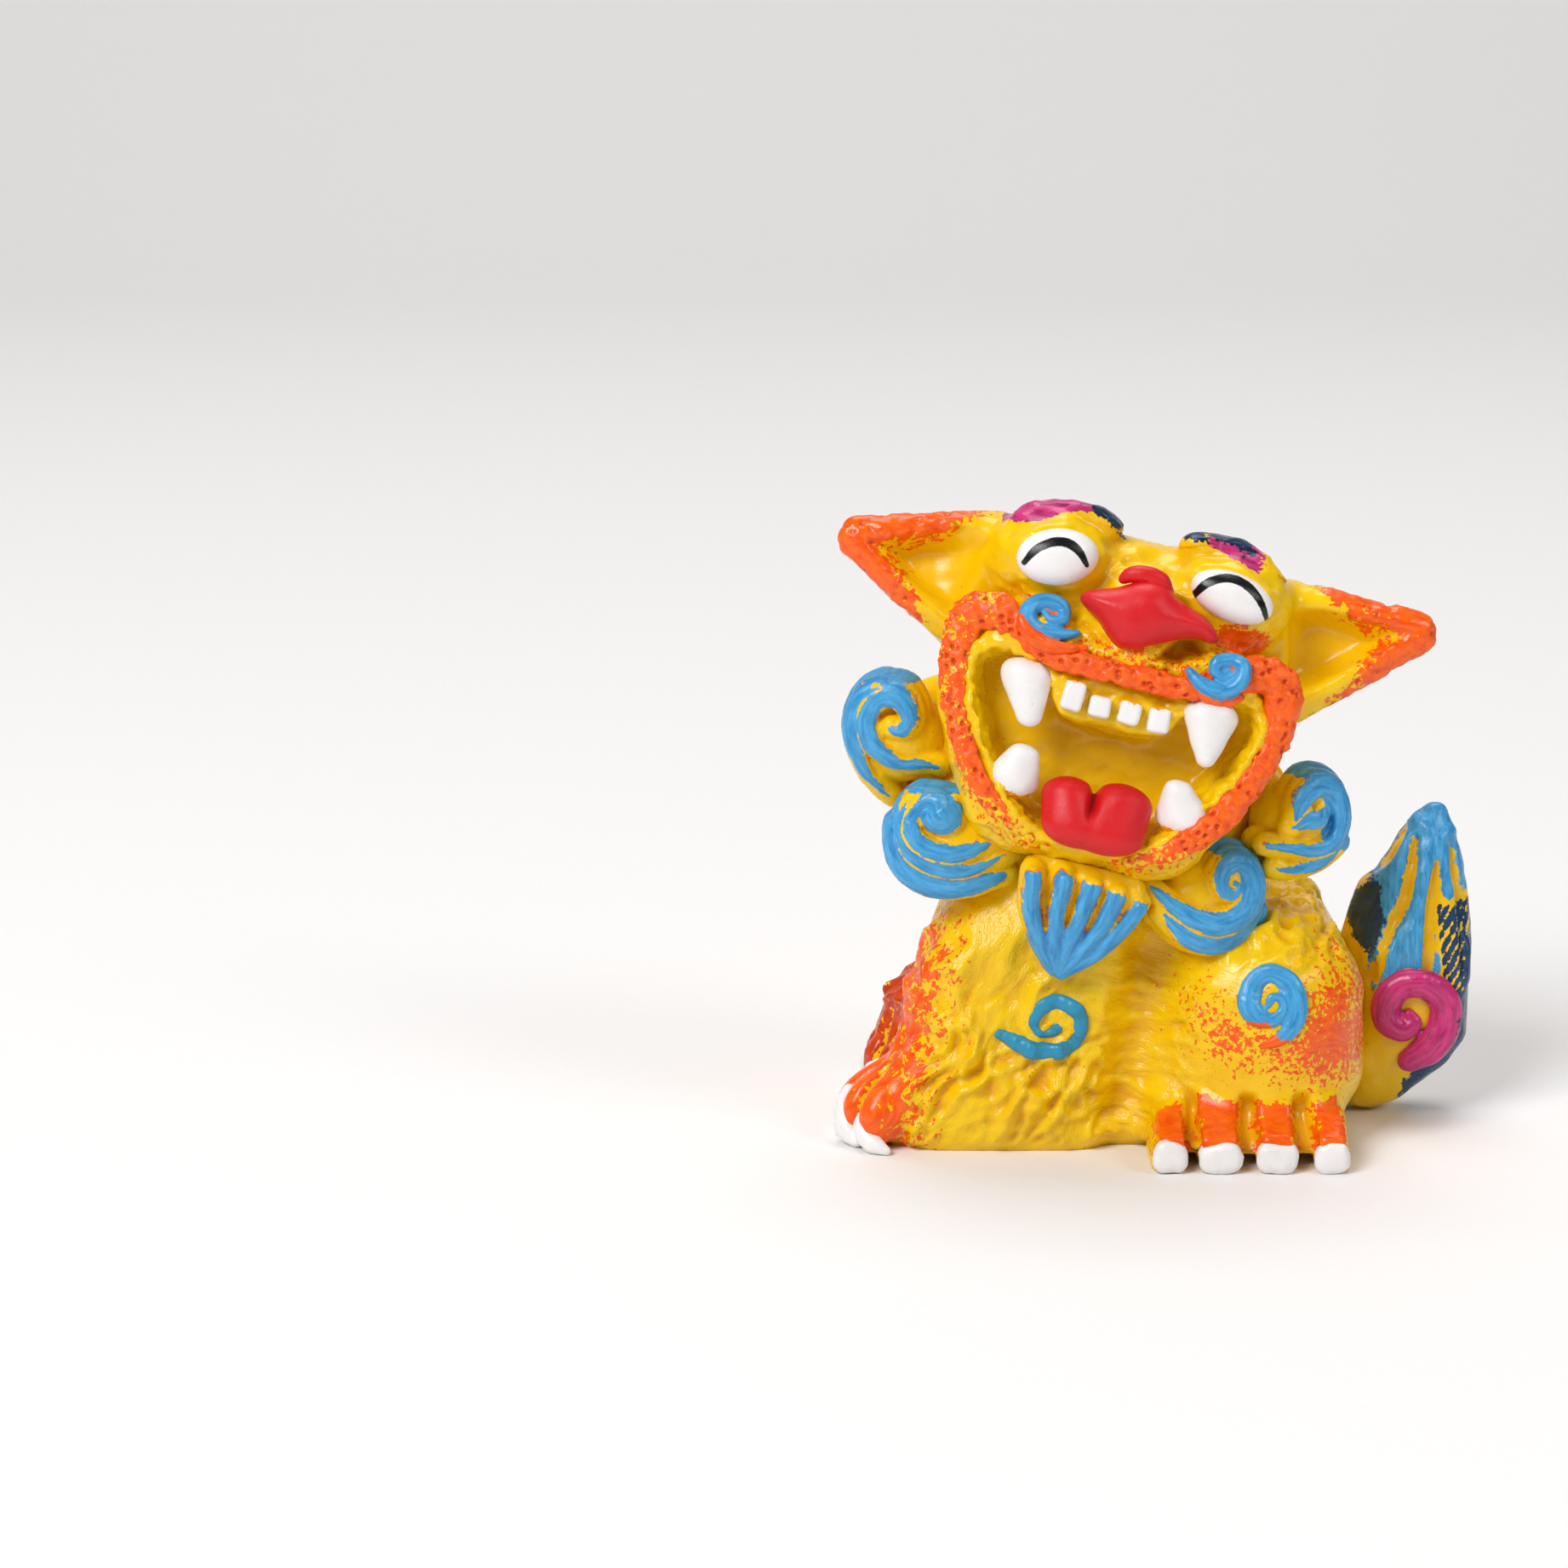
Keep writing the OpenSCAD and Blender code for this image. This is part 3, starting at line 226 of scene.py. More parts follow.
# Soft boxes: place and size in metres, power in watts.
LIGHTS = (
    ("left_box", (-0.62, -0.75, 0.85), 0.55, 11.6), ("right_box", (0.75, -0.6, 0.7), 0.4, 2.5),
    ("top_box", (0.0, 0.35, 1.2), 0.7, 6.6),
)
# The photo's camera: place in millimetres, tilt in degrees and focal length in millimetres.
CAMERA_AT, CAMERA_TILT, CAMERA_LENS = (-33.057, -384.055, 112.145), 78, 100


def linear(hex_colour):
    """An sRGB hex colour as linear red, green, blue and alpha."""
    parts = [int(hex_colour[i:i + 2], 16) / 255 for i in (1, 3, 5)]
    return tuple(v / 12.92 if v <= 0.04045 else ((v + 0.055) / 1.055) ** 2.4 for v in parts) + (1.0,)


# ---------------------------------------------------------------- modelling

def pick(*objects):
    """Selects these objects alone, with the first one active."""
    bpy.ops.object.select_all(action="DESELECT")
    for obj in objects:
        obj.select_set(True)
    bpy.context.view_layer.objects.active = objects[0]


def joined(name, objects):
    """Joins objects into the first one, which takes the name."""
    pick(*objects)
    if len(objects) > 1:
        bpy.ops.object.join()
    objects[0].name = objects[0].data.name = name
    return objects[0]


def reworked(obj, kind, **settings):
    """Puts a modifier on an object and applies it."""
    pick(obj)
    change = obj.modifiers.new(kind.title(), kind)
    for name, value in settings.items():
        setattr(change, name, value)
    bpy.ops.object.modifier_apply(modifier=change.name)
    return obj


@contextmanager
def editing():
    """Opens the active mesh with all of it selected, and closes it again."""
    bpy.ops.object.mode_set(mode="EDIT")
    bpy.ops.mesh.select_all(action="SELECT")
    yield
    bpy.ops.object.mode_set(mode="OBJECT")


def cast_copy(name, nodes):
    """A merged copy of CAD nodes, as the start of a modelled skin."""
    copies = []
    for n in nodes:
        copies.append(bpy.data.objects.new(n + "_copy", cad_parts[n].data.copy()))
        bpy.context.collection.objects.link(copies[-1])
    obj = joined(name, copies)
    obj.data.materials.clear()
    with editing():
        bpy.ops.mesh.remove_doubles(threshold=1e-6)
    return obj


def ball(centre, radii, turn=(0, 0, 0)):
    """A ball of clay pressed to three radii, in millimetres."""
    bpy.ops.object.select_all(action="DESELECT")
    bpy.ops.mesh.primitive_uv_sphere_add(
        segments=48, ring_count=28, radius=MM, location=[v * MM for v in centre],
        rotation=[math.radians(v) for v in turn], scale=radii)
    bpy.ops.object.transform_apply(location=True, rotation=True, scale=True)
    return bpy.context.object


def hulled(*lumps):
    """A lump drawn out between balls of clay, each a centre and three radii."""
    obj = joined("lump", [ball(*lump) for lump in lumps])
    with editing():
        bpy.ops.mesh.convex_hull()
    return obj


def pellet(centre, half, turn=(0, 0, 0), soft=0.5):
    """A small block of clay with well-rounded edges."""
    bpy.ops.object.select_all(action="DESELECT")
    bpy.ops.mesh.primitive_cube_add(
        size=2 * MM, location=[v * MM for v in centre], rotation=[math.radians(v) for v in turn], scale=half)
    bpy.ops.object.transform_apply(location=True, rotation=True, scale=True)
    obj = bpy.context.object
    reworked(obj, "BEVEL", width=soft * MM, segments=4)
    return reworked(obj, "SUBSURF", levels=2, render_levels=2)


def solid_line(name, points, cyclic=False, **settings):
    """A mesh made from a line through (x, y, z, half width), in millimetres, as a curve's settings give it."""
    curve = bpy.data.curves.new(name, "CURVE")
    for key, value in settings.items():
        setattr(curve, key, value)
    line = curve.splines.new("POLY")
    line.use_cyclic_u = cyclic
    line.points.add(len(points) - 1)
    for point, (x, y, z, half) in zip(line.points, points):
        point.co, point.radius = (x * MM, y * MM, z * MM, 1), half
    obj = bpy.data.objects.new(name, curve)
    bpy.context.collection.objects.link(obj)
    pick(obj)
    bpy.ops.object.convert(target="MESH")
    return bpy.context.object


def plate(ring, half):
    """A flat piece of clay cut to an outline (across, up), half its depth either side."""
    obj = solid_line("plate", [(x, z, 0, 1) for x, z in ring[:-1]], True,
                     dimensions="2D", fill_mode="BOTH", extrude=half * MM)
    put(obj, spots(obj)[:, (0, 2, 1)])
    with editing():
        bpy.ops.mesh.remove_doubles(threshold=1e-6)
        bpy.ops.mesh.normals_make_consistent(inside=False)
    return obj


def eased(path, steps=5):
    """A path with smooth points between its own, as a rolled strand bends."""
    path = np.asarray(path, float)
    ends = np.vstack((2 * path[0] - path[1], path, 2 * path[-1] - path[-2]))
    made = []
    for a, b, c, d in zip(ends[:-3], ends[1:-2], ends[2:-1], ends[3:]):
        for t in np.arange(steps) / steps:
            made.append(0.5 * (2 * b + (c - a) * t + (2 * a - 5 * b + 4 * c - d) * t * t
                               + (3 * b - a - 3 * c + d) * t ** 3))
    made = np.array(made + [path[-1]])
    made[:, -1] = np.maximum(made[:, -1], 0.05)
    return made


def strand(path):
    """A rolled strand of clay with round ends along (x, y, z, half width)."""
    path = eased(path)
    caps = []
    for tip, inner in ((path[0], path[1]), (path[-1], path[-2])):
        away = (tip[:3] - inner[:3]) / max(np.linalg.norm(tip[:3] - inner[:3]), 1e-6)
        caps.append([np.append(tip[:3] + away * tip[3] * s, tip[3] * c)
                     for s, c in ((0.5, 0.87), (0.87, 0.5), (0.98, 0.18))])
    path = np.vstack((caps[0][::-1], path, caps[1]))
    return solid_line("strand", path, dimensions="3D", bevel_depth=MM, bevel_resolution=5, use_fill_caps=True)


def welded(name, objects, grain, rounds):
    """Luted lumps as one skin: joined, remeshed at a grain in millimetres and smoothed."""
    obj = joined(name, objects)
    reworked(obj, "REMESH", mode="VOXEL", voxel_size=grain * MM)
    return reworked(obj, "SMOOTH", factor=0.5, iterations=rounds)


def on_head(points):
    """Places on the head, in its own frame, as places in the lion's frame."""
    return FACE + np.asarray(points, float) @ LEAN.T


def from_head(points):
    """The other way round."""
    return (np.asarray(points, float) - FACE) @ LEAN


def seat_on_head(obj):
    """Moves a piece modelled in the head's frame to its place."""
    put(obj, on_head(spots(obj)))
    return obj


def spots(obj):
    """A mesh's points in millimetres."""
    flat = np.empty(3 * len(obj.data.vertices), np.float32)
    obj.data.vertices.foreach_get("co", flat)
    return flat.reshape(-1, 3).astype(float) / MM


def put(obj, points):
    """Moves a mesh's points, given in millimetres."""
    obj.data.vertices.foreach_set("co", (np.asarray(points) * MM).astype(np.float32).ravel())
    obj.data.update()


def facing(obj):
    """The direction each point of a mesh faces."""
    flat = np.empty(3 * len(obj.data.vertices), np.float32)
    obj.data.vertex_normals.foreach_get("vector", flat)
    return flat.reshape(-1, 3).astype(float)


def raised(obj, points, amount):
    """Moves a mesh's points to new places, and from there out along the way they face."""
    points = points + facing(obj) * amount[:, None]
    put(obj, points)
    return points


def weighted(obj, name, weights, least=0.0):
    """Keeps weights above the least as a vertex group."""
    group = obj.vertex_groups.new(name=name)
    for i in np.nonzero(weights > least)[0]:
        group.add([int(i)], float(weights[i]), "REPLACE")


def mark(obj, **fields):
    """Keeps painter's fields on a mesh's points, in millimetres inside an edge."""
    for name, values in fields.items():
        kept = obj.data.attributes.new(name, "FLOAT", "POINT")
        kept.data.foreach_set("value", (np.asarray(values) + FIELD_ZERO).astype(np.float32))


def comb(obj, lines):
    """Keeps the brush's run on a mesh's points, as lengths that are short along its strokes."""
    kept = obj.data.attributes.new("grain", "FLOAT_VECTOR", "POINT")
    kept.data.foreach_set("vector", np.asarray(lines, np.float32).ravel())


def strokes(flat, paths):
    """The brush's run over flat points, along the nearest of some strands."""
    best, made = np.full(len(flat), 1e9), np.zeros((len(flat), 3))
    for k, path in enumerate(paths):
        path, walked = eased(path, 3)[:, :2], 0.0
        for a, b in zip(path[:-1], path[1:]):
            run = b - a
            t = np.clip((flat - a) @ run / max(run @ run, 1e-9), 0, 1)
            off = flat - a - t[:, None] * run
            far = np.linalg.norm(off, axis=1)
            side = np.sign(off[:, 0] * run[1] - off[:, 1] * run[0])
            along = 0.15 * (walked + t * np.linalg.norm(run))
            lines = np.stack((along, side * far, np.full(len(flat), 7.0 * k)), 1)
            made[far < best] = lines[far < best]
            best = np.minimum(best, far)
            walked += np.linalg.norm(run)
    return made


def within(points, path, curved=True):
    """How far each point is inside a strand's width, negative outside."""
    path = eased(path, 3) if curved else np.asarray(path, float)
    best = np.full(len(points), -1e3)
    for a, b in zip(path[:-1], path[1:]):
        run = b[:-1] - a[:-1]
        t = np.clip((points - a[:-1]) @ run / max(run @ run, 1e-9), 0, 1)
        far = np.linalg.norm(points - a[:-1] - t[:, None] * run, axis=1)
        best = np.maximum(best, a[-1] + t * (b[-1] - a[-1]) - far)
    return best


def inset(flat, ring):
    """How far flat points lie inside a ring of points, negative outside."""
    within_it = np.zeros(len(flat), bool)
    for (ax, az), (bx, bz) in zip(ring, np.roll(ring, -1, 0)):
        crosses = (az > flat[:, 1]) != (bz > flat[:, 1])
        within_it ^= crosses & (flat[:, 0] < ax + (flat[:, 1] - az) * (bx - ax) / (bz - az + 1e-9))
    line = [(*spot, 0) for spot in (*ring, ring[0])]
    return np.where(within_it, -1, 1) * within(flat, line, False)


def ripple(points, size, seed=0.0):
    """Smooth noise from -1 to 1 with lumps of a size in millimetres, or of three sizes."""
    return np.array([noise.noise(p) for p in (points / np.asarray(size) + seed).tolist()])


def creases(points, size, seed=0.0):
    """Noise with sharp creases, as a wooden tool leaves in soft clay."""
    return 0.5 - 2 * np.abs(ripple(points, size, seed))


def dents(points, size, seed=0.0):
    """Pressed hollows that meet in sharp ridges, from 0 in a hollow to about 1 on a ridge."""
    near = [noise.voronoi(p)[0][0] for p in (points / np.asarray(size) + seed).tolist()]
    return np.minimum(np.array(near) / 0.62, 1.2) ** 2.6


def pits(points, spacing, radius, seed=0.0):
    """Round pricked pits, 0 to 1, about a spacing apart in millimetres."""
    deep = np.zeros(len(points))
    for i, p in enumerate((points / spacing + seed).tolist()):
        (near, *_), (seat, *_) = noise.voronoi(p)
        if noise.cell(Vector(seat) * 7.3) > 0.18:
            deep[i] = max(0.0, 1 - (near * spacing / radius) ** 2)
    return deep


def outline(flat):
    """The closed outline round flat points."""
    order = sorted(map(tuple, np.round(flat, 3)))
    halves = []
    for run in (order, order[::-1]):
        kept = []
        for c in run:
            while len(kept) > 1 and ((kept[-1][0] - kept[-2][0]) * (c[1] - kept[-2][1])
                                     - (kept[-1][1] - kept[-2][1]) * (c[0] - kept[-2][0])) <= 0:
                kept.pop()
            kept.append(c)
        halves += kept[:-1]
    return np.array(halves + halves[:1])


def ramp(values, low, high):
    """0 below low, 1 above high and eased between them."""
    t = np.clip((values - low) / (high - low), 0, 1)
    return t * t * (3 - 2 * t)


def hollows(obj, rounds=24):
    """How far each point lies below its surroundings, in millimetres."""
    points = spots(obj)
    edges = np.empty(2 * len(obj.data.edges), np.int32)
    obj.data.edges.foreach_get("vertices", edges)
    a, b = edges.reshape(-1, 2).T
    count = np.maximum(np.bincount(a, minlength=len(points)) + np.bincount(b, minlength=len(points)), 1)
    eased_points = points.copy()
    for _ in range(rounds):
        total = [np.bincount(a, eased_points[b, k], len(points)) + np.bincount(b, eased_points[a, k], len(points))
                 for k in range(3)]
        eased_points = 0.4 * eased_points + 0.6 * np.array(total).T / count[:, None]
    return np.einsum("ij,ij->i", eased_points - points, facing(obj))


def pressed(obj, path, share):
    """Flattens a strand towards its path, across the flank, as a sprig pressed on with a thumb."""
    p = spots(obj)
    near = np.array([np.argmin(((path[:, (0, 2)] - spot) ** 2).sum(1)) for spot in p[:, (0, 2)]])
    p[:, 1] = path[near, 1] + (p[:, 1] - path[near, 1]) * share
    put(obj, p)
    return obj


def laid(path, skins, way, proud=0.35, on_face=False):
    """A flat path (across, up, half width) pressed onto skins, seen along a way."""
    deps = bpy.context.evaluated_depsgraph_get()
    way = np.asarray(way, float)
    aim = LEAN @ way if on_face else way
    made = []
    for x, z, half in eased(path, 3):
        start = np.array((x, 0.0, z))
        start = (on_head(start) if on_face else start) - aim * 60
        hits = [skin.ray_cast(Vector(start * MM), Vector(aim), depsgraph=deps) for skin in skins]
        far = [(np.array(h[1]) / MM - start) @ aim for h in hits if h[0]]
        if not far:
            raise RuntimeError("a sprig has nothing to sit on")
        made.append([*(start + aim * (min(far) - half * proud)), half])
    return np.array(made)


def finished(obj, kind, slot, *nodes):
    """Gives a piece its finish and its place in the frame."""
    # how deep each point lies, for the shade painted darker into hollows
    if "hollow" not in obj.data.attributes:
        mark(obj, hollow=hollows(obj))
    if "grain" not in obj.data.attributes:
        comb(obj, spots(obj) * (0.5, 1, 0.5))
    pick(obj)
    bpy.ops.object.shade_smooth()
    obj.data.materials.clear()
    obj.data.materials.append(finish(kind))
    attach(obj, "root")
    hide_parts(*nodes)
    return obj


# ---------------------------------------------------------------- paint

def node(tree, kind, sockets=None, **settings):
    """Adds a node with its settings, and links or sets its sockets."""
    made = tree.nodes.new(kind)
    for name, value in settings.items():
        setattr(made, name, value)
    for key, value in (sockets or {}).items():
        if isinstance(value, bpy.types.NodeSocket):
            tree.links.new(value, made.inputs[key])
        else:
            made.inputs[key].default_value = value
    return made


def brushed(name, ground, deep, coats=(), gloss=0.21, specks=0.5):
    """Thick acrylic brushed by hand over a plaster casting. The ground is painted darker in hollows as shade, and
    deeper where it drifts thick; each coat ends in a ragged dry-brushed edge and stands a little proud, and dust and
    pinholes show.
    A coat is (field, colour, deeper colour, ragged edge in mm, stipple in mm, step in mm)."""
    made = bpy.data.materials.get(name)
    if made:
        return made
    made = bpy.data.materials.new(name)
    made.use_nodes = True
    tree = made.node_tree
    tree.nodes.clear()

    def field(kept, output="Fac"):
        return node(tree, "ShaderNodeAttribute", attribute_name=kept).outputs[output]

    def maths(operation, *values, clamp=False):
        return node(tree, "ShaderNodeMath", dict(enumerate(values)), operation=operation,
                    use_clamp=clamp).outputs["Value"]

    def ranged(value, low, high, start=0.0, end=1.0, kind="LINEAR"):
        return node(tree, "ShaderNodeMapRange", {
            "Value": value, "From Min": low, "From Max": high, "To Min": start, "To Max": end},
            interpolation_type=kind).outputs["Result"]

    def mixed(share, first, second):
        return node(tree, "ShaderNodeMix", {0: share, 6: first, 7: second}, data_type="RGBA").outputs[2]

    def cloud(vector, scale, detail):
        return node(tree, "ShaderNodeTexNoise", {
            "Vector": vector, "Scale": scale, "Detail": detail, "Roughness": 0.6}).outputs["Fac"]

    place = node(tree, "ShaderNodeTexCoord").outputs["Object"]
    drift, rag, dab, grit = (cloud(place, 1 / (size * MM), detail) for size, detail in PAINT_NOISE)
    bristle = cloud(field("grain", "Vector"), 2.6, 3.0)
    # the ground, painted darker in hollows as shade, and deeper where it drifts thick
    painted_shade = ranged(field("hollow"), FIELD_ZERO, FIELD_ZERO + 0.32, 0.0, 0.55)
    tone = mixed(maths("ADD", painted_shade, ranged(drift, 0.35, 0.75, 0.0, 0.25), clamp=True), ground, deep)
    # grit, and the tool's fine scratches where a piece has them
    scratch = maths("ABSOLUTE", maths("SUBTRACT", bristle, 0.5))
    scratch = maths("MULTIPLY", scratch, ranged(field("rough"), FIELD_ZERO, FIELD_ZERO + 1, 0.35, 3.2))
    height = maths("SUBTRACT", maths("MULTIPLY", grit, 0.2), scratch)
    streak = ranged(bristle, 0.4, 0.68)
    for coat, colour, deeper, ragged, stipple, step in coats:
        edge = maths("SUBTRACT", field(coat), FIELD_ZERO)
        for swing, reach in ((rag, ragged), (dab, stipple), (bristle, 0.5 * ragged)):
            edge = maths("MULTIPLY_ADD", maths("SUBTRACT", swing, 0.5), 3 * reach, edge)
        cover = ranged(edge, -0.04, 0.06, kind="SMOOTHSTEP")
        tone = mixed(cover, tone, mixed(streak, colour, deeper))
        height = maths("MULTIPLY_ADD", cover, step / PAINT_STEP, height)
    # dust and pinholes, in patches
    dust = node(tree, "ShaderNodeTexVoronoi", {"Vector": place, "Scale": 1 / (1.1 * MM)}).outputs["Distance"]
    dust = maths("MULTIPLY", ranged(dust, 0.05, 0.11, specks, 0.0), ranged(rag, 0.52, 0.62))
    tone = mixed(dust, tone, linear("#6b4a1c"))
    height = maths("MULTIPLY_ADD", dust, -0.8, height)
    relief = node(tree, "ShaderNodeBump", {"Height": height, "Strength": 0.8, "Distance": PAINT_STEP * MM})
    skin = node(tree, "ShaderNodeBsdfPrincipled", {
        "Base Color": tone, "Roughness": ranged(rag, 0.3, 0.7, gloss - 0.07, gloss + 0.12),
        "Normal": relief.outputs["Normal"], "Specular IOR Level": 0.4})
    node(tree, "ShaderNodeOutputMaterial", {"Surface": skin.outputs["BSDF"]})
    return made


def finish(kind):
    """The lion's paints, by the piece they go on."""
    p = bpy.context.scene.lion_paints
    orange, magenta = (p.orange, p.orange_deep), (p.magenta, p.magenta_deep)
    if kind == "cast":  # glossy yellow acrylic on plaster: ochre painted into the hollows as shade, dry-brushed orange, a darker orange painted on the far leg as shadow, and painted shade in the pricked pits
        return brushed("yellow_acrylic_on_plaster", p.yellow, p.yellow_drift_and_shade, [
            ("orange", *orange, 0.5, 0.45, 0.03), ("spatter", *orange, 0.3, 0.9, 0.02),
            ("far", p.far_leg_shadow, p.pit, 0.5, 0.45, 0.0), ("magenta", *magenta, 0.2, 0.2, 0.02),
            ("dark", p.navy, p.ink, 0.3, 0.3, 0.01), ("pit", p.pit, p.pit, 0.05, 0.05, -0.03)], gloss=0.18)
    if kind == "lip":  # orange over yellow, rubbed off the pricked rim, with painted shade in the pricked pits
        return brushed("orange_acrylic_over_yellow", p.yellow, p.yellow_drift_and_shade, [
            ("orange", *orange, 0.22, 0.28, 0.02), ("pit", p.pit, p.pit, 0.05, 0.05, -0.03)], gloss=0.33)
    if kind == "curl":  # sky blue brushed over orange on yellow, each showing at the next one's edge
        return brushed("blue_acrylic_over_orange", p.yellow, p.yellow_drift_and_shade, [
            ("under", *orange, 0.45, 0.2, 0.01), ("blue", p.blue, p.blue_deep, 0.2, 0.14, 0.02),
            ("dark", p.navy, p.navy, 0.3, 0.35, 0.0)], gloss=0.26)
    if kind == "sprig":  # the flank curl's greener blue, to a clean edge
        return brushed("teal_acrylic_on_sprig", p.teal, p.teal_drift_and_shade, [
            ("dark", p.navy, p.navy, 0.3, 0.4, 0.0)], gloss=0.34)
    if kind == "red":  # satin red acrylic, painted darker in its hollows as shade
        return brushed("satin_red_acrylic", p.red, p.red_drift_and_shade, gloss=0.4, specks=0.2)
    if kind == "tooth":  # white acrylic, thin at the roots so the yellow shows
        return brushed("white_acrylic_tooth", p.white, p.white_drift_and_shade, [
            ("root", p.yellow, p.orange_deep, 0.3, 0.25, -0.01)], gloss=0.3, specks=0.25)
    if kind == "eye":  # glossy white dome with a brushed line of black ink
        return brushed("white_acrylic_eye", p.white, p.white_drift_and_shade, [
            ("ink", p.ink, p.ink, 0.04, 0.03, 0.02)], gloss=0.24, specks=0.15)
    # streaky magenta acrylic over the yellow, with navy scratched in at its ends
    return brushed("magenta_acrylic_over_yellow", p.yellow, p.yellow_drift_and_shade, [
        ("magenta", *magenta, 0.2, 0.2, 0.02), ("dark", p.navy, p.ink, 0.4, 0.5, 0.01)], gloss=0.23, specks=0.3)


def length(label, note, default, low, high):
    """A length for the panel, given in millimetres."""
    return FloatProperty(name=label, description=note, default=default * MM, min=low * MM, max=high * MM,
                         subtype="DISTANCE", unit="LENGTH", precision=5)


def paint(label, note, colour):
    """A paint for the panel, given as a hex sRGB colour."""
    return FloatVectorProperty(name=label, description=note, subtype="COLOR", size=4, min=0, max=1,
                               default=linear(colour))


class LionSizes(PropertyGroup):
    skin_grain: length("Skin grain", "Voxel size of the body and head skins", 0.28, 0.25, 1)
    strand_grain: length("Strand grain", "Voxel size of strands, curls and face pieces", 0.17, 0.1, 0.5)
    tool_mark: length("Tool marks", "Depth of the modelling tool's strokes on the chest and flank", 0.75, 0, 1)
    lip_pit: length("Lip pits", "Depth of the pits pricked into the lips and ear rims", 0.4, 0, 0.6)
    dry_edge: length("Dry-brushed width", "Width of the orange on the foreleg at the floor", 6.4, 2, 10)
    smoothing: IntProperty(
        name="Smoothing", description="Rounds of smoothing over the broad forms", default=60, min=10, max=150)


class LionPaints(PropertyGroup):
    yellow: paint("Yellow", "Ground coat of the casting", "#f6ca06")
    # the deeper yellow: the ground's thicker drifts, and painted shade in its hollows
    yellow_drift_and_shade: paint("Pooled yellow", "Ground coat where it pools in hollows", "#dd9400")
    orange: paint("Orange", "Dry-brushed lips, ears and feet", "#fb690f")
    orange_deep: paint("Deep orange", "Thicker streaks of the orange", "#ee4a0a")
    blue: paint("Blue", "Mane, beard, moustache and tail", "#4fa9de")
    blue_deep: paint("Deep blue", "Thicker streaks of the blue", "#2c84be")
    teal: paint("Teal", "Sprig curl on the flank", "#2c90b6")
    # the deeper teal: thicker drifts, and painted shade in the sprig's hollows
    teal_drift_and_shade: paint("Deep teal", "Sprig curl on the flank, in its hollows", "#1f7496")
    navy: paint("Navy", "Dark edges of the tail and brows", "#1c3f63")
    magenta: paint("Magenta", "Brows and tail curl", "#d4367e")
    magenta_deep: paint("Deep magenta", "Thicker streaks of the magenta", "#98285c")
    red: paint("Red", "Nose and tongue", "#d8161e")
    # the deeper red: thicker drifts, and painted shade in the hollows of nose and tongue
    red_drift_and_shade: paint("Deep red", "Nose and tongue in their hollows", "#b00e1c")
    white: paint("White", "Eyes, teeth and claws", "#f1efee")
    # the soiled white is painted shade in the hollows of eyes, teeth and claws, and thicker drifts
    white_drift_and_shade: paint("Soiled white", "White in its hollows", "#d6cac6")
    # a darker orange painted on the far foreleg as the shadow that falls on it
    far_leg_shadow: paint("Far leg", "Darker orange of the far foreleg", "#b23604")
    # a darker orange painted at the bottoms of the pricked pits as shade
    pit: paint("Pits", "Shaded paint at the bottom of the pricked pits", "#d84a0c")
    ink: paint("Ink", "Lines on the eyes", "#100f12")


# ---------------------------------------------------------------- pieces

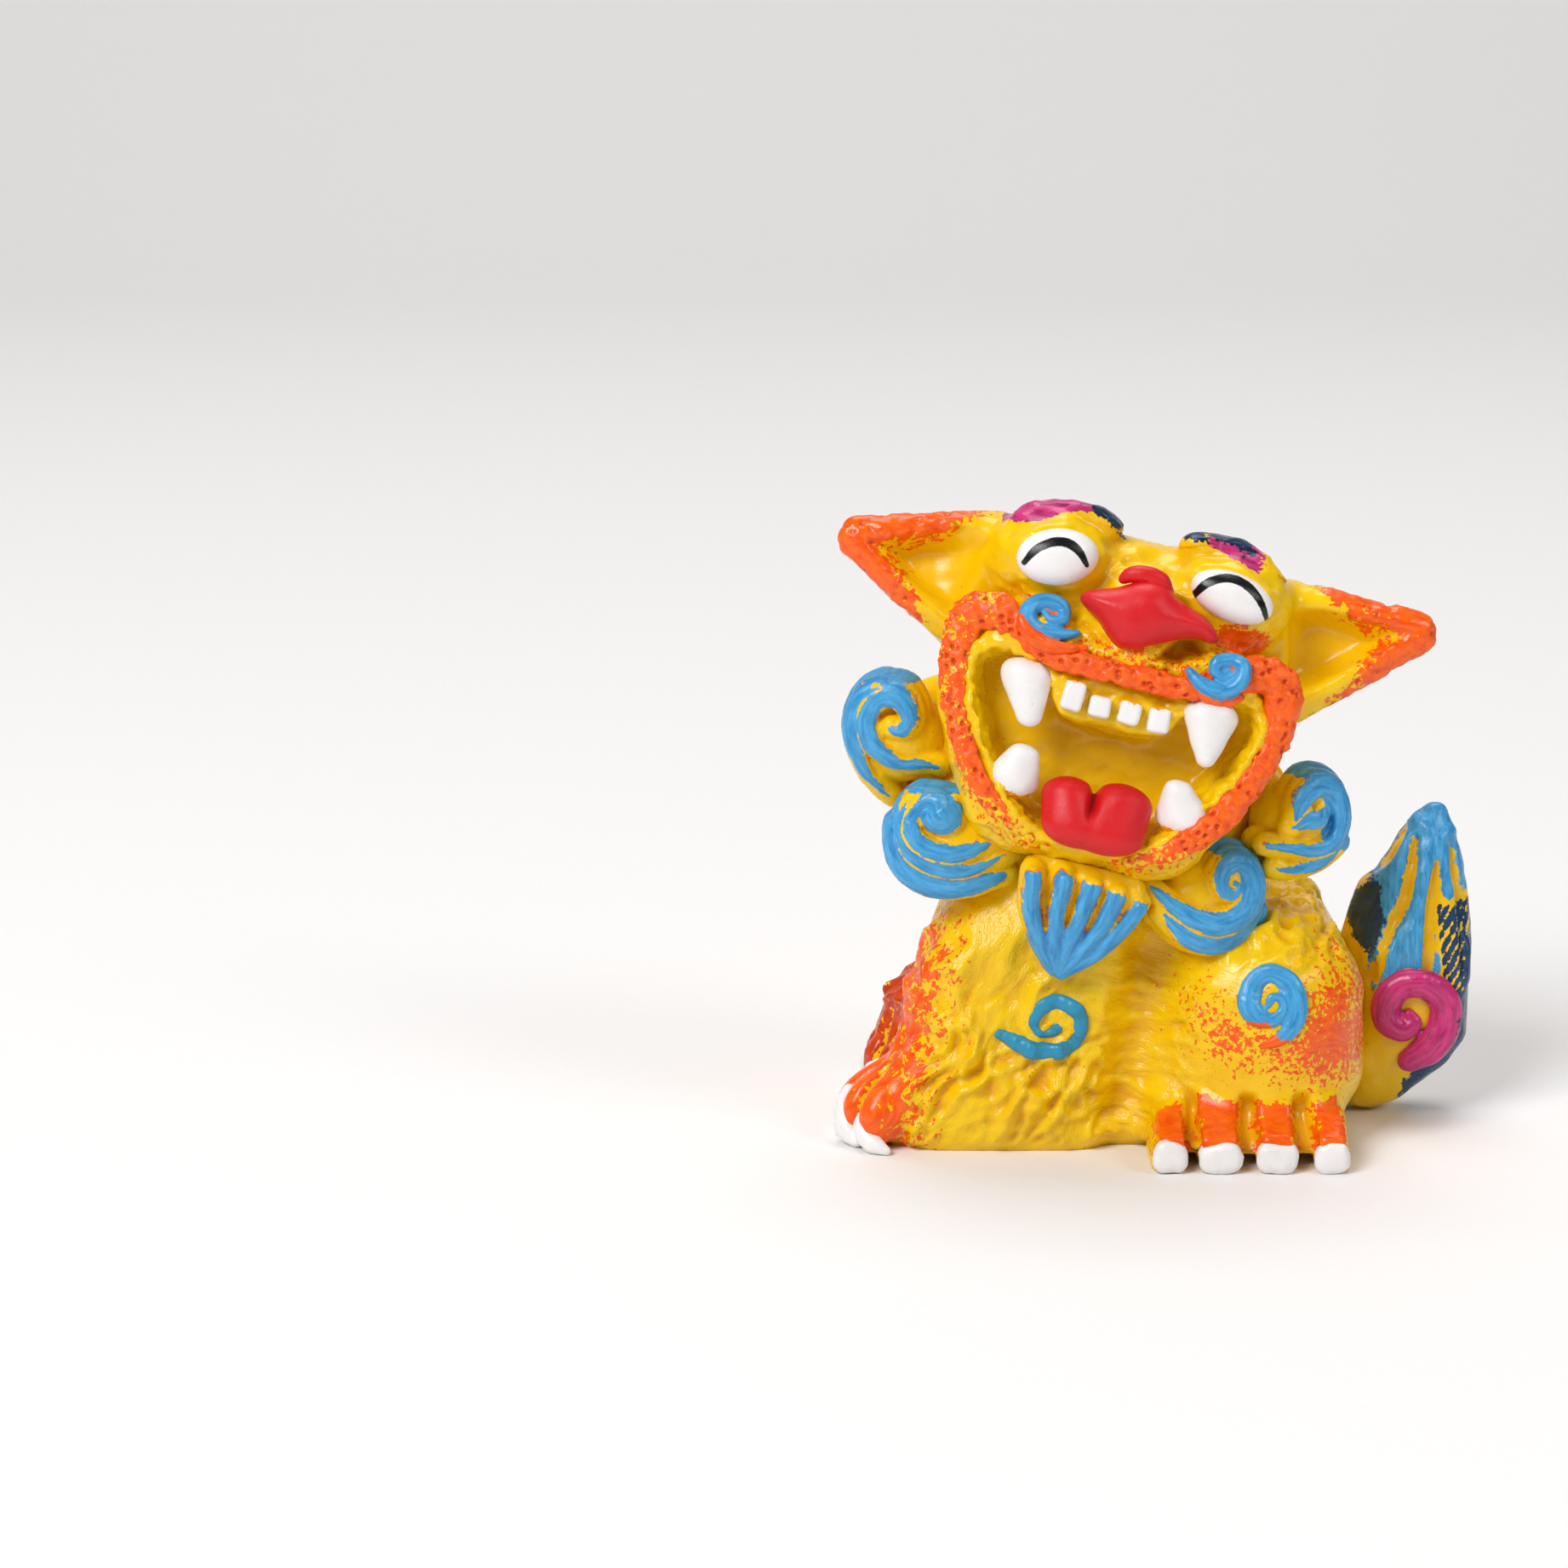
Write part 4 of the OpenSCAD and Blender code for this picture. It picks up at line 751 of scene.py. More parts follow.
class LION_OT_stage(Operator):
    """Pale sweep of paper, soft light from the upper left, and the camera"""
    bl_idname = "lion.stage"
    bl_label = "Stage"

    def execute(self, context):
        size, forward, bend, steps, wall = 2.4, -0.45, 0.4, 12, 1.2  # metres, and steps round the bend
        bpy.ops.object.select_all(action="DESELECT")
        bpy.ops.mesh.primitive_plane_add(size=size, location=(0, forward, 0))
        paper = context.object
        paper.name = "paper_sweep"
        bpy.ops.object.transform_apply(location=True)
        bpy.ops.object.mode_set(mode="EDIT")
        bpy.ops.mesh.select_mode(type="EDGE")
        bpy.ops.mesh.select_all(action="DESELECT")
        bpy.ops.object.mode_set(mode="OBJECT")
        for edge in paper.data.edges:
            edge.select = all(paper.data.vertices[i].co.y > 0 for i in edge.vertices)
        bpy.ops.object.mode_set(mode="EDIT")
        turns = [math.radians(90 * i / steps) for i in range(steps + 1)]
        moves = [(0, bend * (math.sin(b) - math.sin(a)), bend * (math.cos(a) - math.cos(b)))
                 for a, b in zip(turns[:-1], turns[1:])]
        for move in moves + [(0, 0, wall)]:
            bpy.ops.mesh.extrude_region_move(TRANSFORM_OT_translate={"value": move})
        bpy.ops.object.mode_set(mode="OBJECT")
        bpy.ops.object.shade_smooth()
        white = bpy.data.materials.new("matt_white_paper")  # even and pale, with a faint fibre
        white.use_nodes = True
        tree = white.node_tree
        fibre = node(tree, "ShaderNodeTexNoise", {
            "Vector": node(tree, "ShaderNodeTexCoord").outputs["Object"], "Scale": 1 / (0.6 * MM)}).outputs["Fac"]
        shade = node(tree, "ShaderNodeMix", {0: fibre, 6: linear("#f5f3f2"), 7: linear("#f1efee")}, data_type="RGBA")
        tree.links.new(shade.outputs[2], tree.nodes["Principled BSDF"].inputs["Base Color"])
        tree.nodes["Principled BSDF"].inputs["Roughness"].default_value = 0.8
        paper.data.materials.append(white)
        for name, place, size, power in LIGHTS:
            lamp = bpy.data.lights.new(name, "AREA")
            lamp.size, lamp.energy = size, power
            obj = bpy.data.objects.new(name, lamp)
            context.collection.objects.link(obj)
            obj.location = place
            obj.rotation_euler = (Vector((0, 0, 0.03)) - obj.location).to_track_quat("-Z", "Y").to_euler()
        world = bpy.data.worlds.new("soft_room")
        world.use_nodes = True
        room = world.node_tree.nodes["Background"].inputs
        room["Color"].default_value, room["Strength"].default_value = linear("#ffffff"), 0.16
        context.scene.world = world
        lens = bpy.data.cameras.new("camera")
        lens.lens, lens.sensor_width, lens.clip_start = CAMERA_LENS, 36, 0.01
        eye = bpy.data.objects.new("camera", lens)
        context.collection.objects.link(eye)
        eye.location = [v * MM for v in CAMERA_AT]
        eye.rotation_euler = (math.radians(CAMERA_TILT), 0, 0)
        context.scene.camera = eye
        context.scene.view_settings.view_transform = "Standard"
        return {"FINISHED"}


def toe(x, half, tilt, side):
    """A square hind toe, lower and rounder towards its claw."""
    obj = pellet((x, side * (FOOT_REACH[side] - 2.8), 2.35), (half, 2.95, 2.4), (0, tilt, 0.8 * tilt), 0.95)
    p = spots(obj)
    forward = ramp(np.abs(p[:, 1]), FOOT_REACH[side] - 4.5, FOOT_REACH[side] + 0.2)
    p[:, 2] *= 1 - 0.26 * forward
    p[:, 0] = x + (p[:, 0] - x) * (1 - 0.05 * forward)
    put(obj, p)
    return obj


def body_skin(sizes, nodes):
    """Torso and legs smoothed into one skin, with square toes on the hind feet."""
    core = cast_copy("body_core", nodes)
    reworked(core, "REMESH", mode="VOXEL", voxel_size=CORE_GRAIN * MM)
    x, _, z = spots(core).T
    paws = ramp(-x, 18.5, 21) * ramp(-z, -11, -8)
    weighted(core, "broad", ramp(z, 0.4, 4) * (1 - paws))
    reworked(core, "SMOOTH", factor=0.5, iterations=sizes.smoothing, vertex_group="broad")
    reworked(core, "SUBSURF", levels=1, render_levels=1)
    toes = [toe(*shape, side) for shape in HIND_TOES for side in (-1, 1)]
    return welded("cast_body", [core] + toes, sizes.skin_grain / MM, 6)


def tool_strokes(p, free, depth):
    """How far the modelling tool raised each point, the brush's run after it, and how scratched it is."""
    x, y, z = p.T
    sides = ramp(-y, 3, 8) + ramp(y, 3, 8)
    chest = ramp(-x, 3.5, 8) * ramp(-z, -24, -17) * sides
    flank = ramp(x, -9, -5) * ramp(-x, -5, -1) * ramp(-z, -22, -15) * sides
    rump = ramp(z, 16.5, 19.5) * ramp(x, 2, 6) * free
    loose = p + 0.9 * np.stack([ripple(p, 2.6, seed) for seed in (2.3, 5.1, 7.9)], 1)
    steep, level = loose @ STEEP.T, loose @ LEVEL.T
    broad, narrow = dents(steep, (5.0, 3.6, 3.0), 3.1), dents(steep, (2.7, 1.9, 1.35), 9.4)
    above = ramp(z, 10, 16)
    dabbed = above * (1.15 * broad + 0.3 * narrow - 0.65) + (1 - above) * (0.85 * narrow + 0.5 * broad - 0.6)
    dabbed += 0.22 * creases(steep, (1.7, 1.3, 0.7), 9.4)
    drawn = 0.45 * dents(level, (4.0, 2.4, 1.0), 5.7) + 0.25 * creases(level, (2.6, 1.6, 0.55), 2.7) - 0.25
    lumps = ripple(p, 5.0, 1.3) + 0.6 * ripple(p, 2.2, 8.8) + 0.25 * ripple(p, 1.0, 6.8)
    push = depth * free * (chest * dabbed + flank * drawn + 0.3 * lumps)
    push += depth * rump * (0.7 * narrow + 0.3 * broad - 0.5)
    patchy = np.clip(0.7 + 0.6 * ripple(p, 6.0, 12.3) + 0.35 * ramp(-z, -14, -8), 0.25, 1.2)
    push *= np.where(chest + flank > 0.2, patchy, 1)
    across = ramp(x, -9, -5)[:, None]
    run = (1 - across) * steep * (0.3, 0.5, 0.75) + across * level * (0.25, 0.5, 0.9)
    return push, run, free * np.clip(0.3 + chest + flank, 0, 1)


def foretoe_grooves(p):
    """Grooves between the fanned foretoes, 0 to 1."""
    x, y, z = p.T
    ahead, aside = np.where(y < 0, WRIST[-1], WRIST[1]) - x, np.abs(y) - PAW_ASIDE
    away, groove = np.hypot(ahead, aside), np.zeros(len(p))
    for turn in (33, 3, -27):
        arc = (np.arctan2(aside, ahead) - math.radians(turn)) * away
        groove = np.maximum(groove, np.exp(-(arc / 0.42) ** 2))
    return groove * (ramp(away, 2.5, 4.5) * ramp(ahead, 0.5, 2) * ramp(-z, -10, -6))


class LION_OT_body(Operator):
    """Torso and legs as one cast skin with tool marks and dry-brushed orange"""
    bl_idname = "lion.body"
    bl_label = "Body"

    def execute(self, context):
        s = context.scene.lion_sizes
        nodes = ("torso", "foreleg_left", "foreleg_right", "hind_leg_left", "hind_leg_right")
        body = body_skin(s, nodes)
        p = spots(body)
        x, y, z = p.T
        toes = np.maximum(ramp(np.abs(y), 13.5, 15) * ramp(-z, -6.5, -5.5), ramp(-x, 20.5, 23) * ramp(-z, -9, -7.5))
        push, run, rough = tool_strokes(p, ramp(z, 0.3, 1.6) * (1 - toes), s.tool_mark / MM)
        comb(body, run)
        # the soft valley between chest and haunch
        valley = within(p[:, (0, 2)], VALLEY)
        push -= 1.5 * np.exp(-(valley / 2.1) ** 2) * ramp(np.abs(y), 7, 10) * ramp(z, 1.5, 4)
        # the shins slope back above the paws, and the far leg shows a little beside the near one
        shins, far_side = ramp(-x, 15, 19), ramp(y, -3, 1)
        slope = 1.3 * np.exp(-((z - 10.5) / 3) ** 2) + 0.4 * ramp(z, 12, 16)
        apart = np.interp(z, *FAR_SHIN) * (far_side * shins)
        p[:, 0] += apart + shins * (slope - 0.9 * (1 - far_side) * ramp(-z, -8, -5))
        groove = foretoe_grooves(p)
        reach = np.where(y < 0, FOOT_REACH[-1], FOOT_REACH[1])
        for (a, wide_a, _), (b, wide_b, _) in zip(HIND_TOES[:-1], HIND_TOES[1:]):
            gap = np.abs(x - (a + wide_a + b - wide_b) / 2) / ((b - wide_b - a - wide_a) / 2 + 0.25)
            push -= 1.5 * np.exp(-gap ** 4) * ramp(np.abs(y) - reach, -8, -5) * ramp(-z, -6.5, -5)
        p = raised(body, p, push - 0.9 * groove)
        p[:, 2] = np.where(p[:, 2] < 0.25, 0, p[:, 2])
        put(body, p)
        # the orange runs down the shin from the foreleg's front edge and covers the paw and the hind toes
        x, y, z = p.T
        wide = 2 + (20 - z) * (s.dry_edge / MM - 2) / 20 + 1.2 * far_side
        shin = wide - (x - apart - 0.5 * far_side + 21.5 + (20 - z) * 0.38)
        shin = np.minimum(np.where(z < 21.5, shin, -5), np.minimum((19 - z) * 1.2, (np.abs(y) - 2.5) * 1.5))
        shin = np.clip(shin * 0.12 + 0.05, -9, 0.36) - 0.8 * groove
        across = np.max([half - 0.25 - np.abs(x - middle) for middle, half, _ in HIND_TOES], axis=0)
        tops = np.min([across, np.abs(y) - reach + 5.0, 5.6 - z, (z - 1.6) * 1.2], axis=0)
        dabs = np.max([dense - fade * np.hypot(x - HAUNCH[0] - along, z - HAUNCH[1] - up)
                       for along, up, dense, fade in HAUNCH_STIPPLE], axis=0)
        # far: a darker orange painted over the far foreleg's orange as its shadow
        mark(body, rough=rough, orange=np.maximum(shin, 0.65 * np.maximum(tops, -5)),
             far=np.minimum(shin - 0.03, (y - 3.5) * 0.15), spatter=np.where(np.abs(y) < 9, -3, np.maximum(dabs, -3)))
        finished(body, "cast", "yellow_paint", *nodes)
        return {"FINISHED"}


def lip_bend(x, z):
    """How far back the lip bends, round the muzzle and under the mouth."""
    return x * x / 80 + np.maximum(0, -8 - z) ** 2 / 12


def lip_line():
    """The middle of the rolled lip on the head, from end to end."""
    half = [(MOUTH_HALF * u, MOUTH_TOP - v * MOUTH_TALL, w) for u, v, w in LIP]
    full = [(-x, z, w) for x, z, w in half] + [(x, z, w * (1.25 if z < -4 else 1)) for x, z, w in half[-2::-1]]
    return np.array([(x, lip_bend(x, z) - 0.15, z, w) for x, z, w in full])


def brow_paint(q):
    """Magenta along the top of each brow, with navy at its inner end and along the left one's ridge."""
    x, y, z = q.T
    right, left = (z - np.interp(x, *np.array(BROW_EDGE[side]).T) for side in ("right", "left"))
    there = (y < 9) & (z > 12.5) & (np.abs(x) < 13)
    magenta = np.where(x < 0, np.minimum(right, (-5.1 - x) * 0.6),
                       np.minimum(left, np.minimum((x - 4.6) * 0.5, (9.8 - x) * 0.4)))
    ridge = np.minimum(left - 1.1, np.minimum(x - 4.0, 9.0 - x) * 0.5) * 0.5
    dark = np.where(x < 0, np.minimum(right, np.minimum(x + 5.6, -2.3 - x) * 0.6),
                    np.maximum(ridge, np.minimum((z - 15.7) * 0.8, (4.9 - x) * 0.5)))
    return {name: np.where(there, np.clip(coat, -3, 0.5), -3) for name, coat in (("magenta", magenta), ("dark", dark))}


def ear_edge(side, q):
    """How far points on the head lie from an ear's outline."""
    rim = outline(from_head(spots(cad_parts["ear_" + side]))[:, (0, 2)])
    return -within(q[:, (0, 2)], np.column_stack((rim, np.zeros(len(rim)))), False)


def head_skin(sizes, nodes):
    """Skull, brows and ears smoothed into one skin, most of all in the ears' cups."""
    head = welded("cast_head", [cast_copy("cast_head", nodes + ("brow_left", "brow_right"))], sizes.skin_grain / MM, 8)
    q = from_head(spots(head))
    x, y, z = q.T
    ears = ramp(np.abs(x), 14, 17)
    skull = np.maximum(ramp(y, 5, 10), ramp(z, 5, 7) * ramp(-np.abs(x), -15, -12)) * (1 - ears)
    for side, sign in SIDES:
        skull = np.maximum(skull, ears * (sign * x > 0) * ramp(ear_edge(side, q), 1.4, 2.6))
    weighted(head, "broad", skull, 0.02)
    reworked(head, "SMOOTH", factor=0.5, iterations=sizes.smoothing, vertex_group="broad")
    q = from_head(spots(head))
    cups = [ramp(sign * q[:, 0], 12, 15) * ramp(ear_edge(side, q), 1.6, 2.6) * ramp(-q[:, 1], -16, -12)
            for side, sign in SIDES]
    weighted(head, "cups", np.max(cups, axis=0), 0.02)
    return reworked(head, "SMOOTH", factor=0.5, iterations=2 * sizes.smoothing, vertex_group="cups")


class LION_OT_head(Operator):
    """Skull, cheeks, jaw and ears as one cast skin with orange ear rims"""
    bl_idname = "lion.head"
    bl_label = "Head"

    def execute(self, context):
        s = context.scene.lion_sizes
        nodes = ("head", "ear_left", "ear_right")
        head = head_skin(s, nodes)
        p, n = spots(head), facing(head)
        q, lip = from_head(p), lip_line()
        flat, (x, y, z) = q[:, (0, 2)], q.T
        # crumbs beside the lip, and dents on the face, deeper on the bridge of the nose
        rim = within(q, lip)
        crumbs = ramp(rim, -3.2, -1.6) * ramp(-y, -7, -4)
        face = ramp(-y, -9, -4) * ramp(-np.abs(x), -15, -12)
        bridge = ramp(-np.hypot((x - 0.5) / 4.5, (z - 11) / 3.5), -1.1, -0.6)
        push = crumbs * (0.3 * ripple(p, 0.8, 2.2) + 0.12 * ripple(p, 0.4, 3.2))
        push = push + 0.2 * ripple(p, 3.0, 4.4) + 0.1 * ripple(p, 1.2, 7.7)
        push += face * (0.14 + 0.22 * bridge) * (dents(p, (2.4, 2.4, 1.5), 6.6) - 0.5)
        # ears with a rolled, pricked rim round a cup
        edge, front = np.full(len(p), -5.0), ramp(-(n @ INTO_FACE), 0.1, 0.5)
        for side, sign in SIDES:
            start, later, full_cup = EAR[side]
            away, out = ear_edge(side, q), sign * x
            tip = q[np.argmax(out)]
            low = ramp(tip[2] - z - 0.16 * (sign * tip[0] - out), -1.5, 1.5)
            bare = start + low * later
            reach = 2.5 + 0.9 * ramp(out, 21, 25) - 4.6 * ramp(bare - out, -3.5, 4.5)
            cup = 2.1 * ramp(away, 2.0, 3.8) * ramp(out, 11.5, full_cup) * (1 - 0.4 * ramp(out, 19, 24))
            push += front * (0.3 * ramp(-away, -2.4, -1.6) * ramp(out, 14, 17) - cup)
            edge = np.where((out > 12) & (y > 2), (reach - away) * 0.28, edge)
        pricked = pits(p, 0.8, 0.36, 0.7) * ramp(edge, -0.4, 0.2)
        push -= 0.6 * s.lip_pit / MM * pricked + ramp(edge, -0.5, 0.3) * 0.14 * ripple(p, 0.8, 1.7)
        # a low lid round each eye
        for centre, wide, tall, tilt in EYE.values():
            a = math.radians(tilt)
            across = ((x - centre[0]) * math.cos(a) + (z - centre[2]) * math.sin(a)) / wide
            upwards = ((z - centre[2]) * math.cos(a) - (x - centre[0]) * math.sin(a)) / tall
            lid = (np.hypot(across, upwards) - 1) * tall
            push += (y < 6) * 0.1 * (np.exp(-((lid - 0.3) / 0.3) ** 2) - np.exp(-((lid - 1.0) / 0.5) ** 2))
        p = p + n * push[:, None]
        for ring, deep in NOSTRILS:
            depth = np.where(y < 4, inset(flat, ring), 0)
            p = p + np.outer(deep * ramp(depth, 0, 0.8), INTO_FACE)
        put(head, p)
        # orange on the ear rims, round the lip, on one cheek and under the nose
        blush = np.where(y > 6, -5, 1.0 - np.hypot((x - 9.7) / 3.2, (z - 8.0) / 1.3))
        smear = np.where(y < 3, 0.4 - np.hypot((x - 0.9) / 2.0, (z - 5.0) / 0.8), -5)
        mouth = inset(flat, lip[:, (0, 2)]) > 0
        comb(head, np.where((z > 12.5)[:, None], q * BROW_RUN, p * (0.5, 1, 0.5)))
        # less shade painted into the hollows of the ear cups and inside the mouth
        less_painted_shade = np.maximum(ramp(np.abs(x), 13, 16), mouth * ramp(y, 1, 4))
        # the pricked pits get a darker orange painted in as shade
        mark(head, hollow=hollows(head) * (1 - 0.75 * less_painted_shade), orange=np.max([edge, blush, smear, rim - 0.9], axis=0),
             spatter=np.where((y < 8) & ~mouth, ramp(rim, -3.4, -1.0) * 0.9 - 1.05, -3), pit=0.4 * pricked - 0.22,
             **brow_paint(q))
        finished(head, "cast", "yellow_paint", *nodes)
        return {"FINISHED"}


class LION_OT_lips(Operator):
    """Rolled lip round the mouth, pricked all over"""
    bl_idname = "lion.lips"
    bl_label = "Lips"

    def execute(self, context):
        s = context.scene.lion_sizes
        lip = welded("rolled_lip", [strand(lip_line())], s.strand_grain / MM, 6)
        q = spots(lip)
        bend = lip_bend(q[:, 0], q[:, 2])
        q[:, 1] = bend - 0.2 + (q[:, 1] - bend) * 0.55
        put(lip, q)
        seat_on_head(lip)
        p = spots(lip)
        deep = pits(p, 0.72, 0.34, 4.1)
        raised(lip, p, -s.lip_pit / MM * deep + 0.24 * ripple(p, 1.3, 2.9) + 0.15 * ripple(p, 0.6, 6.1))
        x, y, z = from_head(p).T
        front = np.minimum(0.42, (lip_bend(x, z) + 0.25 - y) * 1.5)
        # the pricked pits get a darker orange painted in as shade
        mark(lip, orange=front - ramp(-z, 7.5, 12.5) * 0.42 - 0.3 * ramp(-x, 9, 12), pit=0.5 * deep - 0.22)
        finished(lip, "lip", "orange_paint", "lip")
        return {"FINISHED"}


class LION_OT_eyes(Operator):
    """Glossy white eyes, each with a closed arc of ink, under magenta brows"""
    bl_idname = "lion.eyes"
    bl_label = "Eyes and brows"

    def execute(self, context):
        for side, (centre, wide, tall, tilt) in EYE.items():
            eye = ball(centre, (wide, 1.75, tall), (0, -tilt, 0))
            eye.name = eye.data.name = "eye_dome_" + side
            reworked(eye, "SUBSURF", levels=1, render_levels=1)
            q = spots(eye)
            line = within(q[:, (0, 2)], INK[side]) + 0.1
            line[q[:, 1] > centre[1]] = -2
            seat_on_head(eye)
            mark(eye, ink=line)
            finished(eye, "eye", "white_paint", "eye_" + side)
            brow = welded("brow_strip_" + side, [cast_copy("brow_copy", ("brow_" + side,))], SMALL_GRAIN, 10)
            p = spots(brow)
            raised(brow, p, 0.1 * ripple(p, 0.9, 3.3) - 0.22)
            comb(brow, from_head(p) * BROW_RUN)
            mark(brow, **brow_paint(from_head(p)))
            finished(brow, "brow", "magenta_paint", "brow_" + side)
        return {"FINISHED"}


class LION_OT_nose(Operator):
    """Rhombic nose with drawn-out wings, nostrils and a pinch above it"""
    bl_idname = "lion.nose"
    bl_label = "Nose"

    def execute(self, context):
        grain = context.scene.lion_sizes.strand_grain / MM
        ring = eased([(*spot, 1) for spot in NOSE + NOSE[:1]], 3)[:, :2]
        nose = welded("nose_plate", [plate(ring, 1.4)], grain, 3)
        q = spots(nose)
        depth = np.clip(inset(q[:, (0, 2)], ring) / 2.5, 0, 1)
        dome = 0.012 * q[:, 0] ** 2 - 0.25 - 2.1 * np.sqrt(1 - (1 - depth) ** 2)
        q[:, 1] = np.where(q[:, 1] < 0.7, dome, q[:, 1])
        put(nose, q)
        nose = welded("red_nose", [nose, strand(NOSE_ROLL)], grain, 7)
        q = spots(nose)
        raised(nose, q, 0.2 + 0.1 * ripple(q, 1.8, 5.5))
        finished(seat_on_head(nose), "red", "red_paint", "nose")
        return {"FINISHED"}


class LION_OT_moustaches(Operator):
    """Small volutes beside the nose"""
    bl_idname = "lion.moustaches"
    bl_label = "Moustaches"

    def execute(self, context):
        grain = 0.8 * context.scene.lion_sizes.strand_grain / MM
        skins = [bpy.data.objects["cast_head"], bpy.data.objects["rolled_lip"]]
        for side, strands in MOUSTACHE.items():
            paths = [laid([(x, z, 1.12 * w) for x, z, w in path], skins, (0, 1, 0), 0.5, True) for path in strands]
            for path in paths:
                flat = from_head(path[:, :3])
                flat[:, 1] = 0.35 * flat[:, 1] + 0.65 * np.median(flat[:, 1])
                path[:, :3] = on_head(flat)
            cushion = ball(paths[0][len(paths[0]) // 2:, :3].mean(0) + 0.5 * INTO_FACE, (1.5, 0.6, 1.3))
            hair = welded("moustache_volute_" + side, [cushion] + [strand(path) for path in paths], grain, 5)
            p = spots(hair)
            main, low = (within(p, path) for path in paths[:2])
            comb(hair, strokes(from_head(p)[:, (0, 2)], strands))
            sunk = np.clip(hollows(hair) - 0.02, 0, 0.3)
            mark(hair, under=np.full(len(p), 1.0), blue=np.minimum(main - low + 0.1, 0.2) - 2.0 * sunk)
            finished(hair, "curl", "blue_paint", "moustache_" + side)
        return {"FINISHED"}


class LION_OT_teeth(Operator):
    """Fangs and incisors, white with bare roots"""
    bl_idname = "lion.teeth"
    bl_label = "Teeth"

    def execute(self, context):
        for name, (root, root_size, tip, tip_size) in FANGS.items():
            fang = welded(name + "_tooth", [hulled((root, root_size), (tip, tip_size))], SMALL_GRAIN, 8)
            q = spots(fang)
            q = raised(fang, q, 0.09 * ripple(q, 1.4, len(name)))
            sign = 1 if root[2] > tip[2] else -1
            mark(fang, root=sign * (q[:, 2] - root[2]) - 1.25 + 0.5 * ramp(q[:, 1], 1, 3))
            finished(seat_on_head(fang), "tooth", "white_paint", name)
        teeth = joined("incisor_row", [
            pellet((x, 0.6, z), (0.95, 1.25, tall), (0, tilt, 0), 0.42) for x, z, tall, tilt in INCISORS])
        q = spots(teeth)
        q = raised(teeth, q, 0.06 * ripple(q, 1.1, 3.9))
        mark(teeth, root=q[:, 2] - 0.55 - np.where(q[:, 0] < -2.5, 0.6, 0))
        finished(seat_on_head(teeth), "tooth", "white_paint", "incisors")
        return {"FINISHED"}


class LION_OT_tongue(Operator):
    """Cleft tongue resting on the lower lip"""
    bl_idname = "lion.tongue"
    bl_label = "Tongue"

    def execute(self, context):
        tongue = welded("red_tongue", [hulled(*half) for half in TONGUE], SMALL_GRAIN, 9)
        q = spots(tongue)
        cleft = np.exp(-((q[:, 0] - 0.1) / 0.38) ** 2) * ramp(q[:, 2], -10.6, -8.4)
        q[:, 1] += cleft * ramp(-q[:, 1], -2.5, -0.5)
        q[:, 2] -= 0.5 * cleft
        raised(tongue, q, 0.06 * ripple(q, 2.0, 1.9))
        finished(seat_on_head(tongue), "red", "red_paint", "tongue")
        return {"FINISHED"}


class LION_OT_beard(Operator):
    """Five-ribbed beard under the chin, blue with yellow grooves"""
    bl_idname = "lion.beard"
    bl_label = "Beard"

    def execute(self, context):
        grain = context.scene.lion_sizes.strand_grain / MM
        pad = welded("beard_pad", [cast_copy("beard_pad", ("beard",))], grain, 30)
        ribs = [np.array(rib) * (1, 1, 1, 1.08) for rib in BEARD_RIBS]
        beds = [rib + np.array((0, 1.15, 0.2, 0.35)) for rib in ribs]
        beard = welded("ribbed_beard", [pad] + [strand(rib) for rib in ribs + beds], grain, 5)
        p = spots(beard)
        flat, (x, y, z) = p[:, (0, 2)], p.T
        lines = [rib[:, (0, 2, 3)] for rib in ribs]
        comb(beard, strokes(flat, lines))
        # blue on the ribs and all over the tip, with a bare edge at the top
        crests = np.max([within(flat, line) for line in lines], axis=0)
        tip = (19.6 + 0.28 * np.abs(x + 9.0) - z) * 0.6
        top = 26.6 + 0.42 * np.minimum(0, -9 - x) - z
        blue = np.minimum(np.maximum(crests + 0.1 - 0.14 * ramp(z, 18.5, 23), np.minimum(tip, 0.5)), top)
        blue[y > -12.8] = -1
        mark(beard, blue=blue, under=blue + 0.02)
        finished(beard, "curl", "blue_paint", "beard")
        return {"FINISHED"}


